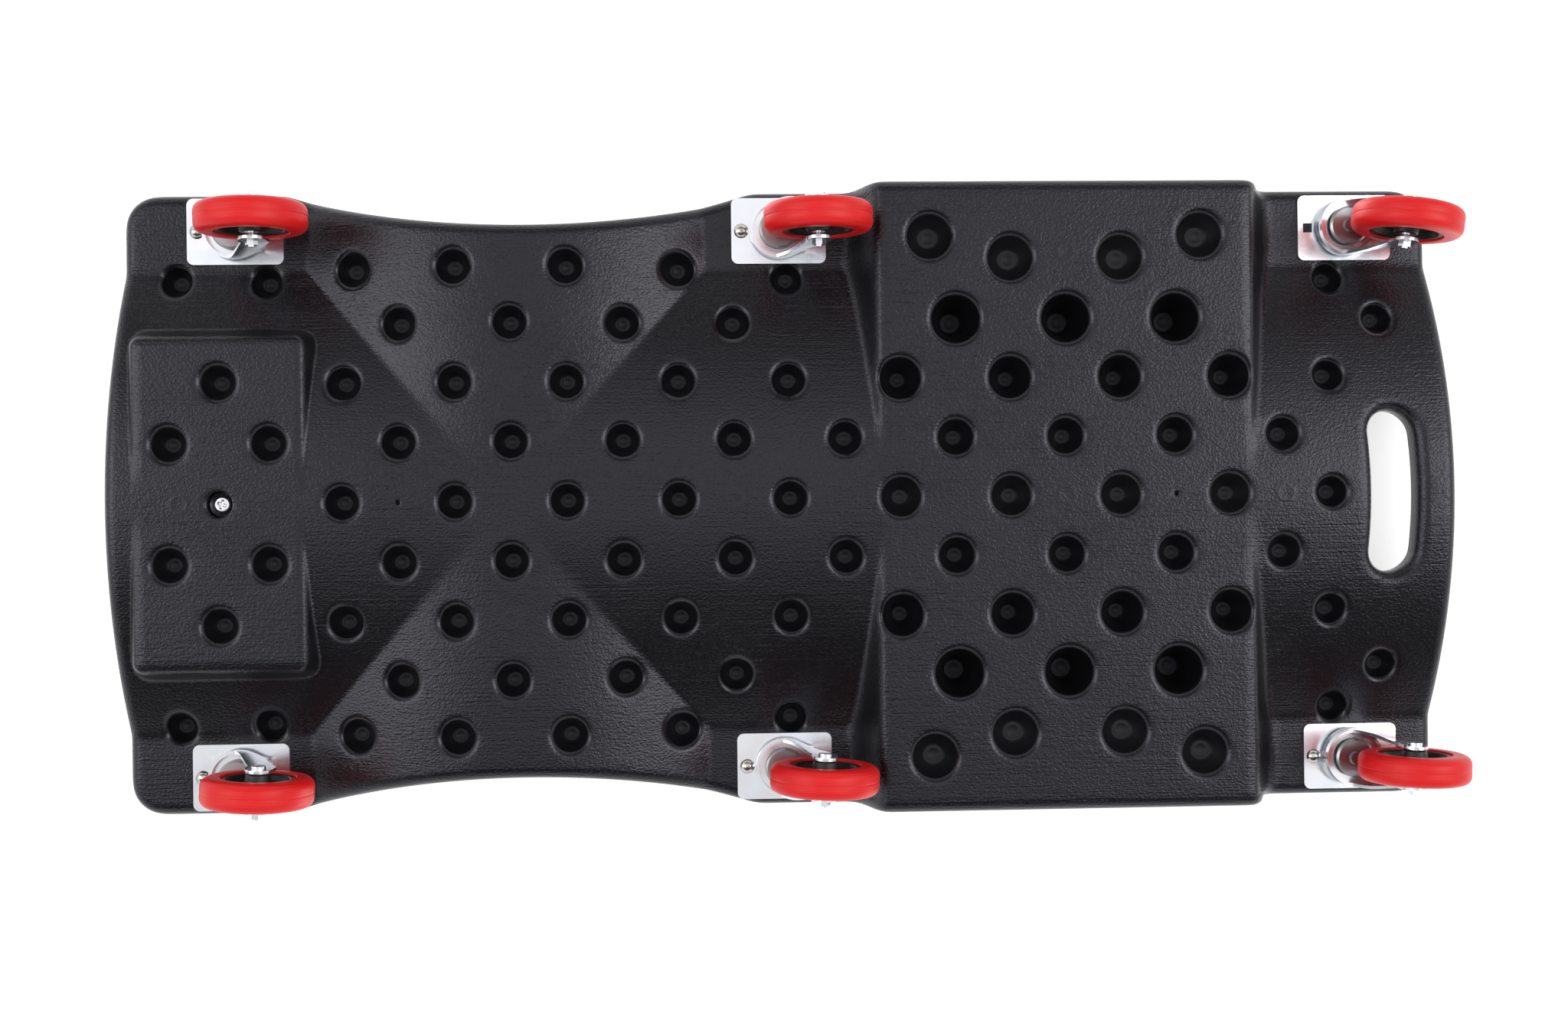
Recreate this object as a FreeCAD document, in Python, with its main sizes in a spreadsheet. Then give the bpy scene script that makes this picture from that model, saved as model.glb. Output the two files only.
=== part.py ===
"""Mechanic creeper: a blow-moulded deck with a padded headrest, rolling on six swivel casters.

The creeper stands on its wheels. +Z is up, +X points from the headrest to the carry handle, and the
origin is on the floor under the middle of the deck. Left and right are those of a person lying on it.
"""
import FreeCAD, Part
import math
import os

import Sketcher
from FreeCAD import Placement, Rotation, Vector

doc = FreeCAD.newDocument("mechanic_creeper")
sheet = doc.addObject("Spreadsheet::Sheet", "Sizes")

# Driving dimensions in millimetres, or degrees where the note says so
SIZES = [
    ("deck_length", 1010, "deck, end to end on the centre line"),
    ("deck_width", 477, "deck across the tool trays"),
    ("pad_width", 469, "deck across the caster pads"),
    ("waist_width", 412, "deck across the waist"),
    ("waist_start", -379, "x where the waist begins"),
    ("waist_middle", -203, "x of the narrowest point"),
    ("waist_end", -27, "x where the waist ends"),
    ("head_bow", 5.2, "bow of the head end"),
    ("foot_bow", 7, "bow of the handle end"),
    ("corner_radius", 24, "outer corners of the deck"),
    ("deck_thickness", 21, "skin to skin"),
    ("skin", 4.5, "plastic left above each recess"),
    ("spine_drop", 38, "spine underside below the caster pads"),
    ("spine_half", 76, "half width of the flat spine"),
    ("pad_inner", 174, "distance from the centre line to the caster pads"),
    ("spine_round", 240, "rounding from the spine to a flank"),
    ("flank_round", 25, "rounding from a flank to the caster pads"),
    ("waist_slope", 0.066, "rise of the waist facets per millimetre outwards"),
    ("waist_root", 25, "distance from the centre line where the waist facets meet the spine"),
    ("waist_half", 62, "half length of a waist facet at the spine"),
    ("ramp_slope", 0.588, "rise of the ramps beside a waist facet per millimetre along the deck"),
    ("ramp_fall", 0.11, "fall of those ramps per millimetre outwards"),
    ("block_start", 64, "x where the tray block begins"),
    ("block_length", 288, "tray block along the deck"),
    ("block_width", 471, "tray block across its underside"),
    ("block_lean", 0.35, "lean of the tray block's end walls per millimetre"),
    ("block_corner", 9, "corner radius of the blocks"),
    ("block_edge", 5, "rounding of the blocks' lower edges"),
    ("tray_length", 262, "tool tray along the deck"),
    ("tray_width", 64, "tool tray across"),
    ("tray_margin", 10, "rim outside a tool tray"),
    ("tray_floor", 20, "floor thickness of a tool tray"),
    ("tray_corner", 14, "corner radius of a tool tray"),
    ("head_block_centre", -420.5, "x of the headrest block's middle"),
    ("head_block_length", 130, "headrest block along the deck"),
    ("head_block_width", 250, "headrest block across"),
    ("head_block_lean", 0.2, "lean of the headrest block's walls per millimetre"),
    ("headrest_room", 5, "room round the headrest in its pocket"),
    ("slot_centre", 458, "x of the carry slot's middle"),
    ("slot_width", 35, "carry slot along the deck"),
    ("slot_length", 122, "carry slot across the deck"),
    ("slot_bow", 1.7, "bow of the carry slot"),
    ("slot_round", 4, "rounding of the carry slot's rims"),
    ("recess_pitch", 82.8, "recesses along a row"),
    ("recess_row", 44.3, "row to row"),
    ("recess_mouth", 24, "diameter of a common recess at its mouth"),
    ("recess_tip", 10.5, "diameter of a recess floor"),
    ("recess_flare", 1.8, "flare round a recess mouth"),
    ("vent_diameter", 3, "air vents of the moulding"),
    ("vent_place", 289.8, "air vents from the middle of the deck, along it"),
    ("caster_height", 100, "caster, floor to plate top"),
    ("head_caster", -415.5, "x of the head casters"),
    ("middle_caster", -5.4, "x of the middle casters"),
    ("foot_caster", 432.5, "x of the foot casters"),
    ("head_caster_side", 206, "distance from the centre line to a head caster"),
    ("caster_side", 204.4, "distance from the centre line to the other casters"),
    ("wheel_diameter", 80, "wheel over the tyre"),
    ("tyre_width", 21.5, "tyre across"),
    ("tyre_round", 6, "tyre shoulders"),
    ("hub_diameter", 53, "hub inside the tyre"),
    ("hub_rim_width", 18.6, "hub rim across"),
    ("hub_rim_wall", 4, "wall of the hub rim"),
    ("hub_web", 7, "hub web across"),
    ("hub_boss", 19, "diameter of the hub boss"),
    ("boss_long", 12.8, "hub boss from the wheel's middle, bolt head side"),
    ("boss_short", 10.2, "hub boss from the wheel's middle, nut side"),
    ("bush_diameter", 10, "bush in the hub"),
    ("running_gap", 0.05, "radial play of a bearing or of a bolt in its hole"),
    ("axle_diameter", 5, "axle bolt"),
    ("axle_head_diameter", 10.5, "axle bolt head"),
    ("axle_head", 2.4, "height of the axle bolt head"),
    ("axle_socket", 4, "socket of the axle bolt across flats"),
    ("axle_nut_flats", 8, "axle nut across flats"),
    ("axle_nut", 4, "height of the axle nut"),
    ("trail", 27, "axle behind the swivel axis"),
    ("fork_gap", 27.2, "between the fork legs"),
    ("fork_sheet", 2.3, "fork steel"),
    ("fork_boss", 9.5, "radius of the fork leg round the axle"),
    ("crown_radius", 21.8, "fork crown"),
    ("crown_lip", 7, "lip of the crown below its top"),
    ("crown_drop", 7.5, "crown top below the plate top"),
    ("plate_length", 72, "caster plate along the deck"),
    ("plate_width", 50, "caster plate across"),
    ("plate_sheet", 2.5, "caster plate steel"),
    ("plate_corner", 5, "caster plate corners"),
    ("bead_outer", 22, "radius of the pressed race bead"),
    ("bead_inner", 12.5, "inner radius of the race bead"),
    ("bead_depth", 3, "race bead below the plate"),
    ("ball_diameter", 4.76, "bearing balls"),
    ("ball_play", 0.1, "play between a ball and its races"),
    ("upper_race", 16.5, "pitch radius of the upper balls"),
    ("lower_race", 9.8, "pitch radius of the lower balls"),
    ("upper_balls", 10, "balls in an upper race"),
    ("lower_balls", 6, "balls in a lower race"),
    ("ball_bite", 0.88, "depth of a race groove"),
    ("kingpin_diameter", 9, "kingpin shank"),
    ("kingpin_head", 16, "countersunk head in the plate"),
    ("cup_radius", 14.8, "lower race cup on the kingpin"),
    ("cup_sheet", 2.5, "lower race cup steel"),
    ("rivet_radius", 5.5, "swaged end of the kingpin"),
    ("rivet_height", 2, "swaged end below the cup"),
    ("bolt_spacing", 57, "bolt to bolt on a caster plate"),
    ("bolt_diameter", 6, "caster bolts"),
    ("bolt_head", 11.2, "mushroom head of a caster bolt"),
    ("bolt_head_height", 3, "height of the mushroom head"),
    ("bolt_neck_step", 0.8, "square neck over the bolt's diameter"),
    ("bolt_neck", "=bolt_diameter + bolt_neck_step", "square neck across flats"),
    ("bolt_hole_play", 0.2, "play of a bolt in the plate and the deck"),
    ("nut_flats", 10, "caster nut across flats"),
    ("nut_height", 5, "caster nut"),
    ("nut_pocket", 17, "diameter of the pocket round a caster nut"),
    ("nut_pocket_depth", 7, "pocket below the deck rim"),
    ("board_sheet", 6, "headrest board"),
    ("board_inset", 3, "board edge inside the cushion edge"),
    ("cushion_height", 38, "headrest cushion above its board"),
    ("cushion_draw", 3, "how far the cushion sides are drawn in"),
    ("cushion_corner", 22, "corner radius of the cushion"),
    ("screw_diameter", 5, "headrest screw"),
    ("screw_head", 12.4, "headrest screw head"),
    ("screw_head_height", 3.2, "height of the screw head"),
    ("screw_recess", 20, "recess round the screw head"),
    ("screw_seat", 8, "plastic between the screw head and the headrest"),
    ("screw_bite", 5, "depth of the screw in the headrest board"),
]
for row, (alias, value, note) in enumerate(SIZES, start=1):
    sheet.set(f"A{row}", note)
    sheet.set(f"B{row}", str(value))
    sheet.setAlias(f"B{row}", alias)
doc.recompute()

# Each caster: name, the sheet's names for its x and its y, side, and degrees swung from straight astern
CASTERS = [
    ("head_left", "head_caster", "head_caster_side", 1, 3.0),
    ("head_right", "head_caster", "head_caster_side", -1, -1.2),
    ("middle_left", "middle_caster", "caster_side", 1, 2.5),
    ("middle_right", "middle_caster", "caster_side", -1, -0.5),
    ("foot_left", "foot_caster", "caster_side", 1, 1.4),
    ("foot_right", "foot_caster", "caster_side", -1, 8.5),
]
# The caster and the end of its plate where the square hole stands empty
EMPTY_HOLE = ("foot_right", -1)

# Recesses beside the regular rows: x, distance from the centre line, mouth diameter
PAD_RECESSES = [(-460, 168, 22), (-393, 167, 22), (0, 167.6, 22), (419, 165.2, 22)]
WAIST_RECESSES = [(-325.4, 174.7, 25), (-248.4, 174.7, 25), (-165.6, 174.7, 25), (-82.8, 174.7, 25)]
FOOT_RECESSES = [(408.7, 0, 22.5), (410, 88.6, 22.5), (452.6, 132.4, 22.5)]
# In the tray and headrest blocks: x from the block's middle, distance from the centre line, diameter
TRAY_RECESSES = [(101.9, 194.4, 33), (41.4, 178, 33), (82.8, 132.6, 36), (0, 132.6, 36)]
HEAD_RECESSES = [(0, 89.7, 25), (36.4, 44.5, 25)]
# Last step of each regular row, and its mouth diameter where it crosses the tray block
ROW_ENDS = [4, 4, 4, -1]
BLOCK_ROW_MOUTHS = [29, 26, 31, 0]

FAR = 2000


def size(alias):
    """The value of one cell of the sheet."""
    return float(getattr(sheet, alias))


def bind(target, expressions):
    """Ties properties of a document object to expressions on the sheet."""
    for path, expression in expressions.items():
        target.setExpression(path, expression)
    return target


def feature(label, shape):
    """A document object that holds a computed shape."""
    made = doc.addObject("Part::Feature", label)
    made.Label = label
    made.Shape = shape
    return made


def new_body(label):
    """An empty body with its own label."""
    body = doc.addObject("PartDesign::Body", label)
    body.Label = label
    return body


def new_sketch(body, name, role):
    """A sketch on one of the body's own origin planes."""
    sketch = body.newObject("Sketcher::SketchObject", name)
    plane = [item for item in body.Origin.OriginFeatures if item.Role == role][0]
    sketch.AttachmentSupport = [(plane, "")]
    sketch.MapMode = "FlatFace"
    return sketch


def fix_point(sketch, curve, point, across, up):
    """Holds one point of a curve at two expressions measured from the sketch origin."""
    for kind, axis, expression in (("DistanceX", -2, across), ("DistanceY", -1, up)):
        if expression == "0":
            sketch.addConstraint(Sketcher.Constraint("PointOnObject", curve, point, axis))
            continue
        value = float(sketch.evalExpression(expression))
        index = sketch.addConstraint(Sketcher.Constraint(kind, curve, point, value))
        sketch.setExpression(f"Constraints[{index}]", expression)


def polygon(body, name, role, corners):
    """A closed sketch through corners given as pairs of expressions."""
    sketch = new_sketch(body, name, role)
    places = [
        Vector(float(sketch.evalExpression(across)), float(sketch.evalExpression(up)), 0)
        for across, up in corners
    ]
    count = len(places)
    for index in range(count):
        sketch.addGeometry(Part.LineSegment(places[index], places[(index + 1) % count]))
    for index in range(count):
        sketch.addConstraint(Sketcher.Constraint("Coincident", index, 2, (index + 1) % count, 1))
    for index, (across, up) in enumerate(corners):
        fix_point(sketch, index, 1, across, up)
    return sketch


def circle(body, name, role, across, up, radius):
    """A circle whose middle and radius are expressions."""
    sketch = new_sketch(body, name, role)
    middle = Vector(float(sketch.evalExpression(across)), float(sketch.evalExpression(up)), 0)
    start = float(sketch.evalExpression(radius))
    sketch.addGeometry(Part.Circle(middle, Vector(0, 0, 1), start))
    fix_point(sketch, 0, 3, across, up)
    index = sketch.addConstraint(Sketcher.Constraint("Radius", 0, start))
    sketch.setExpression(f"Constraints[{index}]", radius)
    return sketch


def turned(body, sketch, kind="Revolution"):
    """Turns a sketch about its upright axis, adding (Revolution) or cutting (Groove)."""
    made = body.newObject(f"PartDesign::{kind}", f"{sketch.Name}_{kind.lower()}")
    made.Profile = sketch
    made.ReferenceAxis = (sketch, ["V_Axis"])
    made.Angle = 360
    return made


def across_plane(body, sketch, kind, length):
    """Pads or pockets a sketch by the same amount on both sides of its plane."""
    made = body.newObject(f"PartDesign::{kind}", f"{sketch.Name}_{kind.lower()}")
    made.Profile = sketch
    made.SideType = "Symmetric"
    made.setExpression("Length", length)
    return made


def rounded(body, base, edges, radius):
    """Rounds the edges of a feature that pass a test."""
    doc.recompute()
    names = [f"Edge{n}" for n, edge in enumerate(base.Shape.Edges, start=1) if edges(edge)]
    made = body.newObject("PartDesign::Fillet", f"{base.Name}_round")
    made.Base = (base, names)
    made.setExpression("Radius", radius)
    return made


def caster_place(target, caster, swung=True, astern="0", height="0"):
    """Stands a piece on its caster's swivel axis, or behind it, turned with the fork."""
    name, along, out, side, swing = caster
    turn = swing if swung else 0.0
    target.Placement = Placement(Vector(0, 0, 0), Rotation(Vector(0, 0, 1), turn))
    return bind(
        target,
        {
            "Placement.Base.x": f"Sizes.{along} + ({astern}) * {math.cos(math.radians(turn))}",
            "Placement.Base.y": f"{side} * Sizes.{out} + ({astern}) * {math.sin(math.radians(turn))}",
            "Placement.Base.z": height,
        },
    )


# Levels that several pieces share, as expressions
PLATE_BOTTOM = "Sizes.caster_height - Sizes.plate_sheet"
CROWN_TOP = "Sizes.caster_height - Sizes.crown_drop"
CROWN_BOTTOM = "Sizes.caster_height - Sizes.crown_drop - Sizes.fork_sheet"
BEAD_BOTTOM = "Sizes.caster_height - Sizes.plate_sheet - Sizes.bead_depth"
GROOVE = "Sizes.ball_diameter / 2 + Sizes.ball_play"
UPPER_BALL = f"({BEAD_BOTTOM} + {CROWN_TOP}) / 2"
LOWER_BALL = f"{CROWN_BOTTOM} + Sizes.ball_bite - ({GROOVE})"
CUP_TOP = f"{LOWER_BALL} - ({GROOVE}) + Sizes.ball_bite"
AXLE_HEIGHT = "Sizes.wheel_diameter / 2"
LEG_OUTER = "Sizes.fork_gap / 2 + Sizes.fork_sheet"


def expression_value(expression):
    """The number that an expression on the sheet gives."""
    return float(sheet.evalExpression(expression))


# Deck


def rounded_rectangle(middle_x, middle_y, length, width, radius, height):
    """A level rectangle with round corners, as a wire."""
    left, right = middle_x - length / 2, middle_x + length / 2
    low, high = middle_y - width / 2, middle_y + width / 2
    edges = []
    corners = [(right, high, 1, 1), (left, high, -1, 1), (left, low, -1, -1), (right, low, 1, -1)]
    ends = []
    for x, y, way_x, way_y in corners:
        middle = Vector(x - way_x * radius, y - way_y * radius, height)
        on_side = middle + Vector(way_x * radius, 0, 0)
        on_end = middle + Vector(0, way_y * radius, 0)
        half = middle + Vector(way_x, way_y, 0) * (radius / math.sqrt(2))
        first, last = (on_side, on_end) if way_x * way_y > 0 else (on_end, on_side)
        edges.append(Part.Arc(first, half, last).toShape())
        ends.append((first, last))
    for index in range(4):
        edges.append(Part.LineSegment(ends[index][1], ends[(index + 1) % 4][0]).toShape())
    return Part.Wire(Part.__sortEdges__(edges))


def block_solid(middle_x, length, width, low, high, lean_x, lean_y):
    """A moulded block that widens upwards, with its lower edge rounded."""
    rise = high - low
    corner = size("block_corner")
    foot = rounded_rectangle(middle_x, 0, length, width, corner, low)
    top = rounded_rectangle(
        middle_x, 0, length + 2 * lean_x * rise, width + 2 * lean_y * rise, corner, high
    )
    solid = Part.makeLoft([foot, top], True, True)
    lower_edges = [edge for edge in solid.Edges if edge.BoundBox.ZMax < low + 0.01]
    return solid.makeFillet(size("block_edge"), lower_edges)


def deck_outline():
    """The deck in plan: bowed ends, round corners, a waist, and a wider stretch at the tool trays."""
    end = size("deck_length") / 2
    side = size("pad_width") / 2
    wide = size("deck_width") / 2
    waist = size("waist_width") / 2
    shoulder = size("pad_inner")
    radius = size("corner_radius")
    start, stop = size("waist_start"), size("waist_end")
    block_left = size("block_start")
    block_right = block_left + size("block_length")
    step = 3 * (wide - side)
    head = -end + size("head_bow")
    foot = end - size("foot_bow")
    slant = radius * (1 - math.sqrt(0.5))

    def half(way):
        """The edge from the head end to the handle end on one side."""
        points = [
            Vector(head, way * shoulder, 0),
            Vector(head, way * (side - radius), 0),
            Vector(head + radius, way * side, 0),
            Vector(start, way * side, 0),
            Vector(stop, way * side, 0),
            Vector(block_left - step / 2, way * side, 0),
            Vector(block_left, way * wide, 0),
            Vector(block_right, way * wide, 0),
            Vector(block_right + step / 2, way * side, 0),
            Vector(foot - radius, way * side, 0),
            Vector(foot, way * (side - radius), 0),
            Vector(foot, way * shoulder, 0),
        ]
        middles = {
            1: Vector(head + slant, way * (side - slant), 0),
            3: Vector(size("waist_middle"), way * waist, 0),
            9: Vector(foot - slant, way * (side - slant), 0),
        }
        pieces = []
        for index in range(len(points) - 1):
            first, last = points[index], points[index + 1]
            if index in middles:
                pieces.append(Part.Arc(first, middles[index], last).toShape())
            else:
                pieces.append(Part.LineSegment(first, last).toShape())
        return pieces, points

    left, left_points = half(1)
    right, right_points = half(-1)
    ends = [
        Part.Arc(left_points[0], Vector(-end, 0, 0), right_points[0]).toShape(),
        Part.Arc(left_points[-1], Vector(end, 0, 0), right_points[-1]).toShape(),
    ]
    return Part.Face(Part.Wire(Part.__sortEdges__(left + right + ends)))


def ramp_reach(y, height):
    """How far from the waist's middle a ramp reaches a height."""
    climb = height - spine_level() + size("ramp_fall") * (abs(y) - size("spine_half"))
    return size("waist_half") + climb / size("ramp_slope")


def waist_wedge(way):
    """One side of the waist: a low facet with a ramp up from each of its ends."""
    middle = size("waist_middle")
    near, far = (size("waist_root") + 5) * way, size("deck_width") * way / 2
    top = size("caster_height") + 3 * size("deck_thickness")

    def low(y, end):
        level = facet_level(y)
        return Vector(middle + end * ramp_reach(y, level), y, level)

    def high(y, end):
        return Vector(middle + end * ramp_reach(y, top), y, top)

    a, b, c, d = low(near, -1), low(near, 1), low(far, 1), low(far, -1)
    e, f, g, h = high(near, -1), high(near, 1), high(far, 1), high(far, -1)
    loops = [(a, b, c, d), (e, f, g, h), (a, b, f, e), (c, d, h, g), (b, c, g, f), (d, a, e, h)]
    faces = [Part.Face(Part.makePolygon(list(loop) + [loop[0]])) for loop in loops]
    solid = Part.makeSolid(Part.makeShell(faces))
    if solid.Volume < 0:
        solid.reverse()
    return solid


def spine_level():
    """Height of the flat spine's underside."""
    return size("caster_height") - size("spine_drop")


def facet_level(y):
    """Height of the waist facets."""
    return spine_level() + size("waist_slope") * max(0.0, abs(y) - size("waist_root"))


def trough_level(y):
    """Height of the underside across the deck, without waist and blocks."""
    slope = size("spine_drop") / (size("pad_inner") - size("spine_half"))
    reach = size("spine_round") * math.tan(math.atan(slope) / 2)
    past = abs(y) - size("spine_half")
    run = (past + reach) ** 2 / (4 * reach) if abs(past) < reach else max(0.0, past)
    return spine_level() + min(size("spine_drop"), slope * run)


def hull_level(x, y):
    """Height of the underside at a point, with the waist facets and their ramps."""
    along = abs(x - size("waist_middle")) - size("waist_half")
    fall = size("ramp_fall") * (abs(y) - size("spine_half"))
    ramp = spine_level() + size("ramp_slope") * along - fall
    return min(trough_level(y), max(facet_level(y), ramp))


def recess_tool(x, y, mouth, low, tip_height):
    """A round tapered recess with a flared mouth, turned about an upright axis."""
    tip = size("recess_tip") / 2
    flare = size("recess_flare")
    reach = 6.0
    rim = mouth / 2
    profile = [
        Vector(0, 0, tip_height),
        Vector(tip, 0, tip_height),
        Vector(rim - flare / 2, 0, low + flare),
        Vector(rim + flare / 2, 0, low),
        Vector(rim + flare, 0, low - reach),
        Vector(0, 0, low - reach),
        Vector(0, 0, tip_height),
    ]
    solid = Part.Face(Part.makePolygon(profile)).revolve(Vector(0, 0, 0), Vector(0, 0, 1), 360)
    solid.translate(Vector(x, y, 0))
    return solid


def recess_list():
    """Every recess as x, y, mouth diameter, underside height and floor height."""
    spine = spine_level()
    thick, skin = size("deck_thickness"), size("skin")
    pitch, row = size("recess_pitch"), size("recess_row")
    block_middle = size("block_start") + size("block_length") / 2
    found = []

    def add(x, y, mouth, low, top):
        found.append((x, y, mouth, low, top - skin))

    def add_pair(x, y, mouth, low, top):
        add(x, y, mouth, low, top)
        if y:
            add(x, -y, mouth, low, top)

    for number, last in enumerate(ROW_ENDS):
        shift = 0.5 * (number % 2)
        y = number * row
        for step in range(-4, last + 1):
            x = (step + shift) * pitch
            over = abs(x - block_middle) < size("block_length") / 2
            mouth = BLOCK_ROW_MOUTHS[number] if over else size("recess_mouth")
            low = spine if over else hull_level(x, y)
            add_pair(x, y, mouth, low, hull_level(x, y) + thick)
    for x, y, mouth in PAD_RECESSES + WAIST_RECESSES + FOOT_RECESSES:
        add_pair(x, y, mouth, hull_level(x, y), hull_level(x, y) + thick)
    tray_top = spine + size("tray_floor")
    for offset, y, mouth in TRAY_RECESSES:
        top = tray_top if y > 170 else trough_level(y) + thick
        for x in sorted({block_middle - offset, block_middle + offset}):
            add_pair(x, y, mouth, spine, top)
    for offset, y, mouth in HEAD_RECESSES:
        for x in sorted({size("head_block_centre") - offset, size("head_block_centre") + offset}):
            add_pair(x, y, mouth, spine, spine + thick)
    return found


def make_deck():
    """The blow-moulded deck: a trough of even thickness, blocks under trays and headrest, and its cuts."""
    spine = spine_level()
    rim = size("caster_height") + size("deck_thickness")
    plan = feature("deck_plan", deck_outline())
    blank = doc.addObject("Part::Extrusion", "deck_blank")
    blank.Base = plan
    blank.DirMode = "Custom"
    blank.Dir = Vector(0, 0, 1)
    blank.Solid = True
    bind(blank, {"LengthFwd": "Sizes.caster_height + 2 * Sizes.deck_thickness"})

    trough = new_body("trough")
    side, pad, flank = "Sizes.deck_width", "Sizes.pad_inner", "Sizes.spine_half"
    low = "Sizes.caster_height - Sizes.spine_drop"
    above = "Sizes.caster_height + 3 * Sizes.deck_thickness"
    section = polygon(
        trough,
        "trough_section",
        "YZ_Plane",
        [
            (f"-{side}", above),
            (f"-{side}", "Sizes.caster_height"),
            (f"-{pad}", "Sizes.caster_height"),
            (f"-{flank}", low),
            (flank, low),
            (pad, "Sizes.caster_height"),
            (side, "Sizes.caster_height"),
            (side, above),
        ],
    )
    run = across_plane(trough, section, "Pad", "1.2 * Sizes.deck_length")
    for place, radius in (("pad_inner", "flank_round"), ("spine_half", "spine_round")):
        run = rounded(
            trough,
            run,
            lambda edge: edge.BoundBox.XLength > 1
            and abs(abs(edge.BoundBox.Center.y) - size(place)) < 0.01,
            f"Sizes.{radius}",
        )
    doc.recompute()

    hull = doc.addObject("Part::MultiFuse", "hull")
    hull.Shapes = [trough, feature("waist_left", waist_wedge(1)), feature("waist_right", waist_wedge(-1))]
    doc.recompute()
    lifted = feature("hull_lifted", hull.Shape.translated(Vector(0, 0, size("deck_thickness"))))

    block_middle = size("block_start") + size("block_length") / 2
    flare = (size("deck_width") - size("block_width")) / 2 / (rim - spine)
    tray_block = feature(
        "tray_block",
        block_solid(
            block_middle,
            size("block_length"),
            size("block_width"),
            spine,
            rim + 1,
            size("block_lean"),
            flare,
        ),
    )
    head_block = feature(
        "headrest_block",
        block_solid(
            size("head_block_centre"),
            size("head_block_length"),
            size("head_block_width"),
            spine,
            spine + size("deck_thickness") + 1,
            size("head_block_lean"),
            size("head_block_lean"),
        ),
    )
    moulded = doc.addObject("Part::MultiFuse", "moulded_form")
    moulded.Shapes = [hull, tray_block, head_block]
    trimmed = doc.addObject("Part::MultiCommon", "trimmed_form")
    trimmed.Shapes = [blank, moulded]
    slab = doc.addObject("Part::Cut", "deck_slab")
    slab.Base = trimmed
    slab.Tool = lifted

    pockets = doc.addObject("Part::MultiFuse", "deck_pockets")
    pockets.Shapes = deck_pockets(spine, rim, block_middle)
    holed = doc.addObject("Part::Cut", "deck_holed")
    holed.Base = slab
    holed.Tool = pockets
    doc.recompute()
    eased = doc.addObject("Part::Fillet", "deck_eased")
    eased.Base = holed
    eased.Edges = [(number, size("slot_round"), size("slot_round")) for number in slot_rims(holed.Shape)]
    tools = [recess_tool(*recess) for recess in recess_list()]
    deck = doc.addObject("Part::Cut", "deck")
    deck.Label = "deck"
    deck.Base = eased
    deck.Tool = feature("recess_tools", Part.makeCompound(tools))
    return deck


def slot_rims(shape):
    """Numbers of the level edges round the carry slot."""
    reach_x, reach_y = size("slot_width") / 2 + 1, size("slot_length") / 2 + 1
    found = []
    for number, edge in enumerate(shape.Edges, start=1):
        box = edge.BoundBox
        inside = abs(box.Center.x - size("slot_centre")) < reach_x and abs(box.Center.y) < reach_y
        if inside and box.ZLength < 0.01 and box.YLength < 2 * reach_y and box.XLength < 2 * reach_x:
            found.append(number)
    return found


def slot_wire():
    """The carry slot in plan: round ends and long sides that follow the bow of the deck's end."""
    middle, half = size("slot_centre"), size("slot_width") / 2
    bow, tip = size("slot_bow"), size("slot_length") / 2
    inner, outer, bend = middle - half, middle + half, tip - half
    edges = [
        Part.Arc(Vector(inner - bow, -bend, 0), Vector(inner, 0, 0), Vector(inner - bow, bend, 0)),
        Part.Arc(Vector(inner - bow, bend, 0), Vector(middle - bow, tip, 0), Vector(outer - bow, bend, 0)),
        Part.Arc(Vector(outer - bow, bend, 0), Vector(outer, 0, 0), Vector(outer - bow, -bend, 0)),
        Part.Arc(Vector(outer - bow, -bend, 0), Vector(middle - bow, -tip, 0), Vector(inner - bow, -bend, 0)),
    ]
    return Part.Wire([edge.toShape() for edge in edges])


def deck_pockets(spine, rim, block_middle):
    """What is cut out of the deck from above and right through it."""
    high = rim + 1
    made = []
    room = 2 * size("headrest_room")
    floor = spine + size("deck_thickness")
    pocket = rounded_rectangle(
        size("head_block_centre"),
        0,
        size("head_block_length") + room,
        size("head_block_width") + room,
        size("cushion_corner"),
        floor,
    )
    made.append(feature("headrest_pocket", Part.Face(pocket).extrude(Vector(0, 0, high - floor))))
    tray_middle = size("deck_width") / 2 - size("tray_margin") - size("tray_width") / 2
    for label, way in (("left_tray", 1), ("right_tray", -1)):
        base = spine + size("tray_floor")
        wire = rounded_rectangle(
            block_middle,
            way * tray_middle,
            size("tray_length"),
            size("tray_width"),
            size("tray_corner"),
            base,
        )
        made.append(feature(label, Part.Face(wire).extrude(Vector(0, 0, high - base))))
    made.append(feature("carry_slot", Part.Face(slot_wire()).extrude(Vector(0, 0, high))))
    play = size("bolt_hole_play")
    for name, along, out, side, swing in CASTERS:
        for end in (-1, 1):
            x = size(along) + end * size("bolt_spacing") / 2
            y = side * size(out)
            bolt_hole = Part.makeCylinder(size("bolt_diameter") / 2 + play, high, Vector(x, y, 0))
            seat = rim - size("nut_pocket_depth")
            nut_room = Part.makeCylinder(size("nut_pocket") / 2, high - seat, Vector(x, y, seat))
            made.append(feature(f"{name}_bolt_hole_{end + 1}", bolt_hole))
            made.append(feature(f"{name}_nut_room_{end + 1}", nut_room))
    seat = floor - size("screw_seat")
    at = size("head_block_centre")
    made.append(feature("screw_room", Part.makeCylinder(size("screw_recess") / 2, seat, Vector(at, 0, 0))))
    hole = size("screw_diameter") / 2 + play
    made.append(feature("screw_hole", Part.makeCylinder(hole, high, Vector(at, 0, 0))))
    for label, way in (("head_vent", -1), ("foot_vent", 1)):
        mouth = Vector(way * size("vent_place"), 0, spine)
        made.append(feature(label, Part.makeCylinder(size("vent_diameter") / 2, size("skin"), mouth)))
    return made


# Headrest


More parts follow.
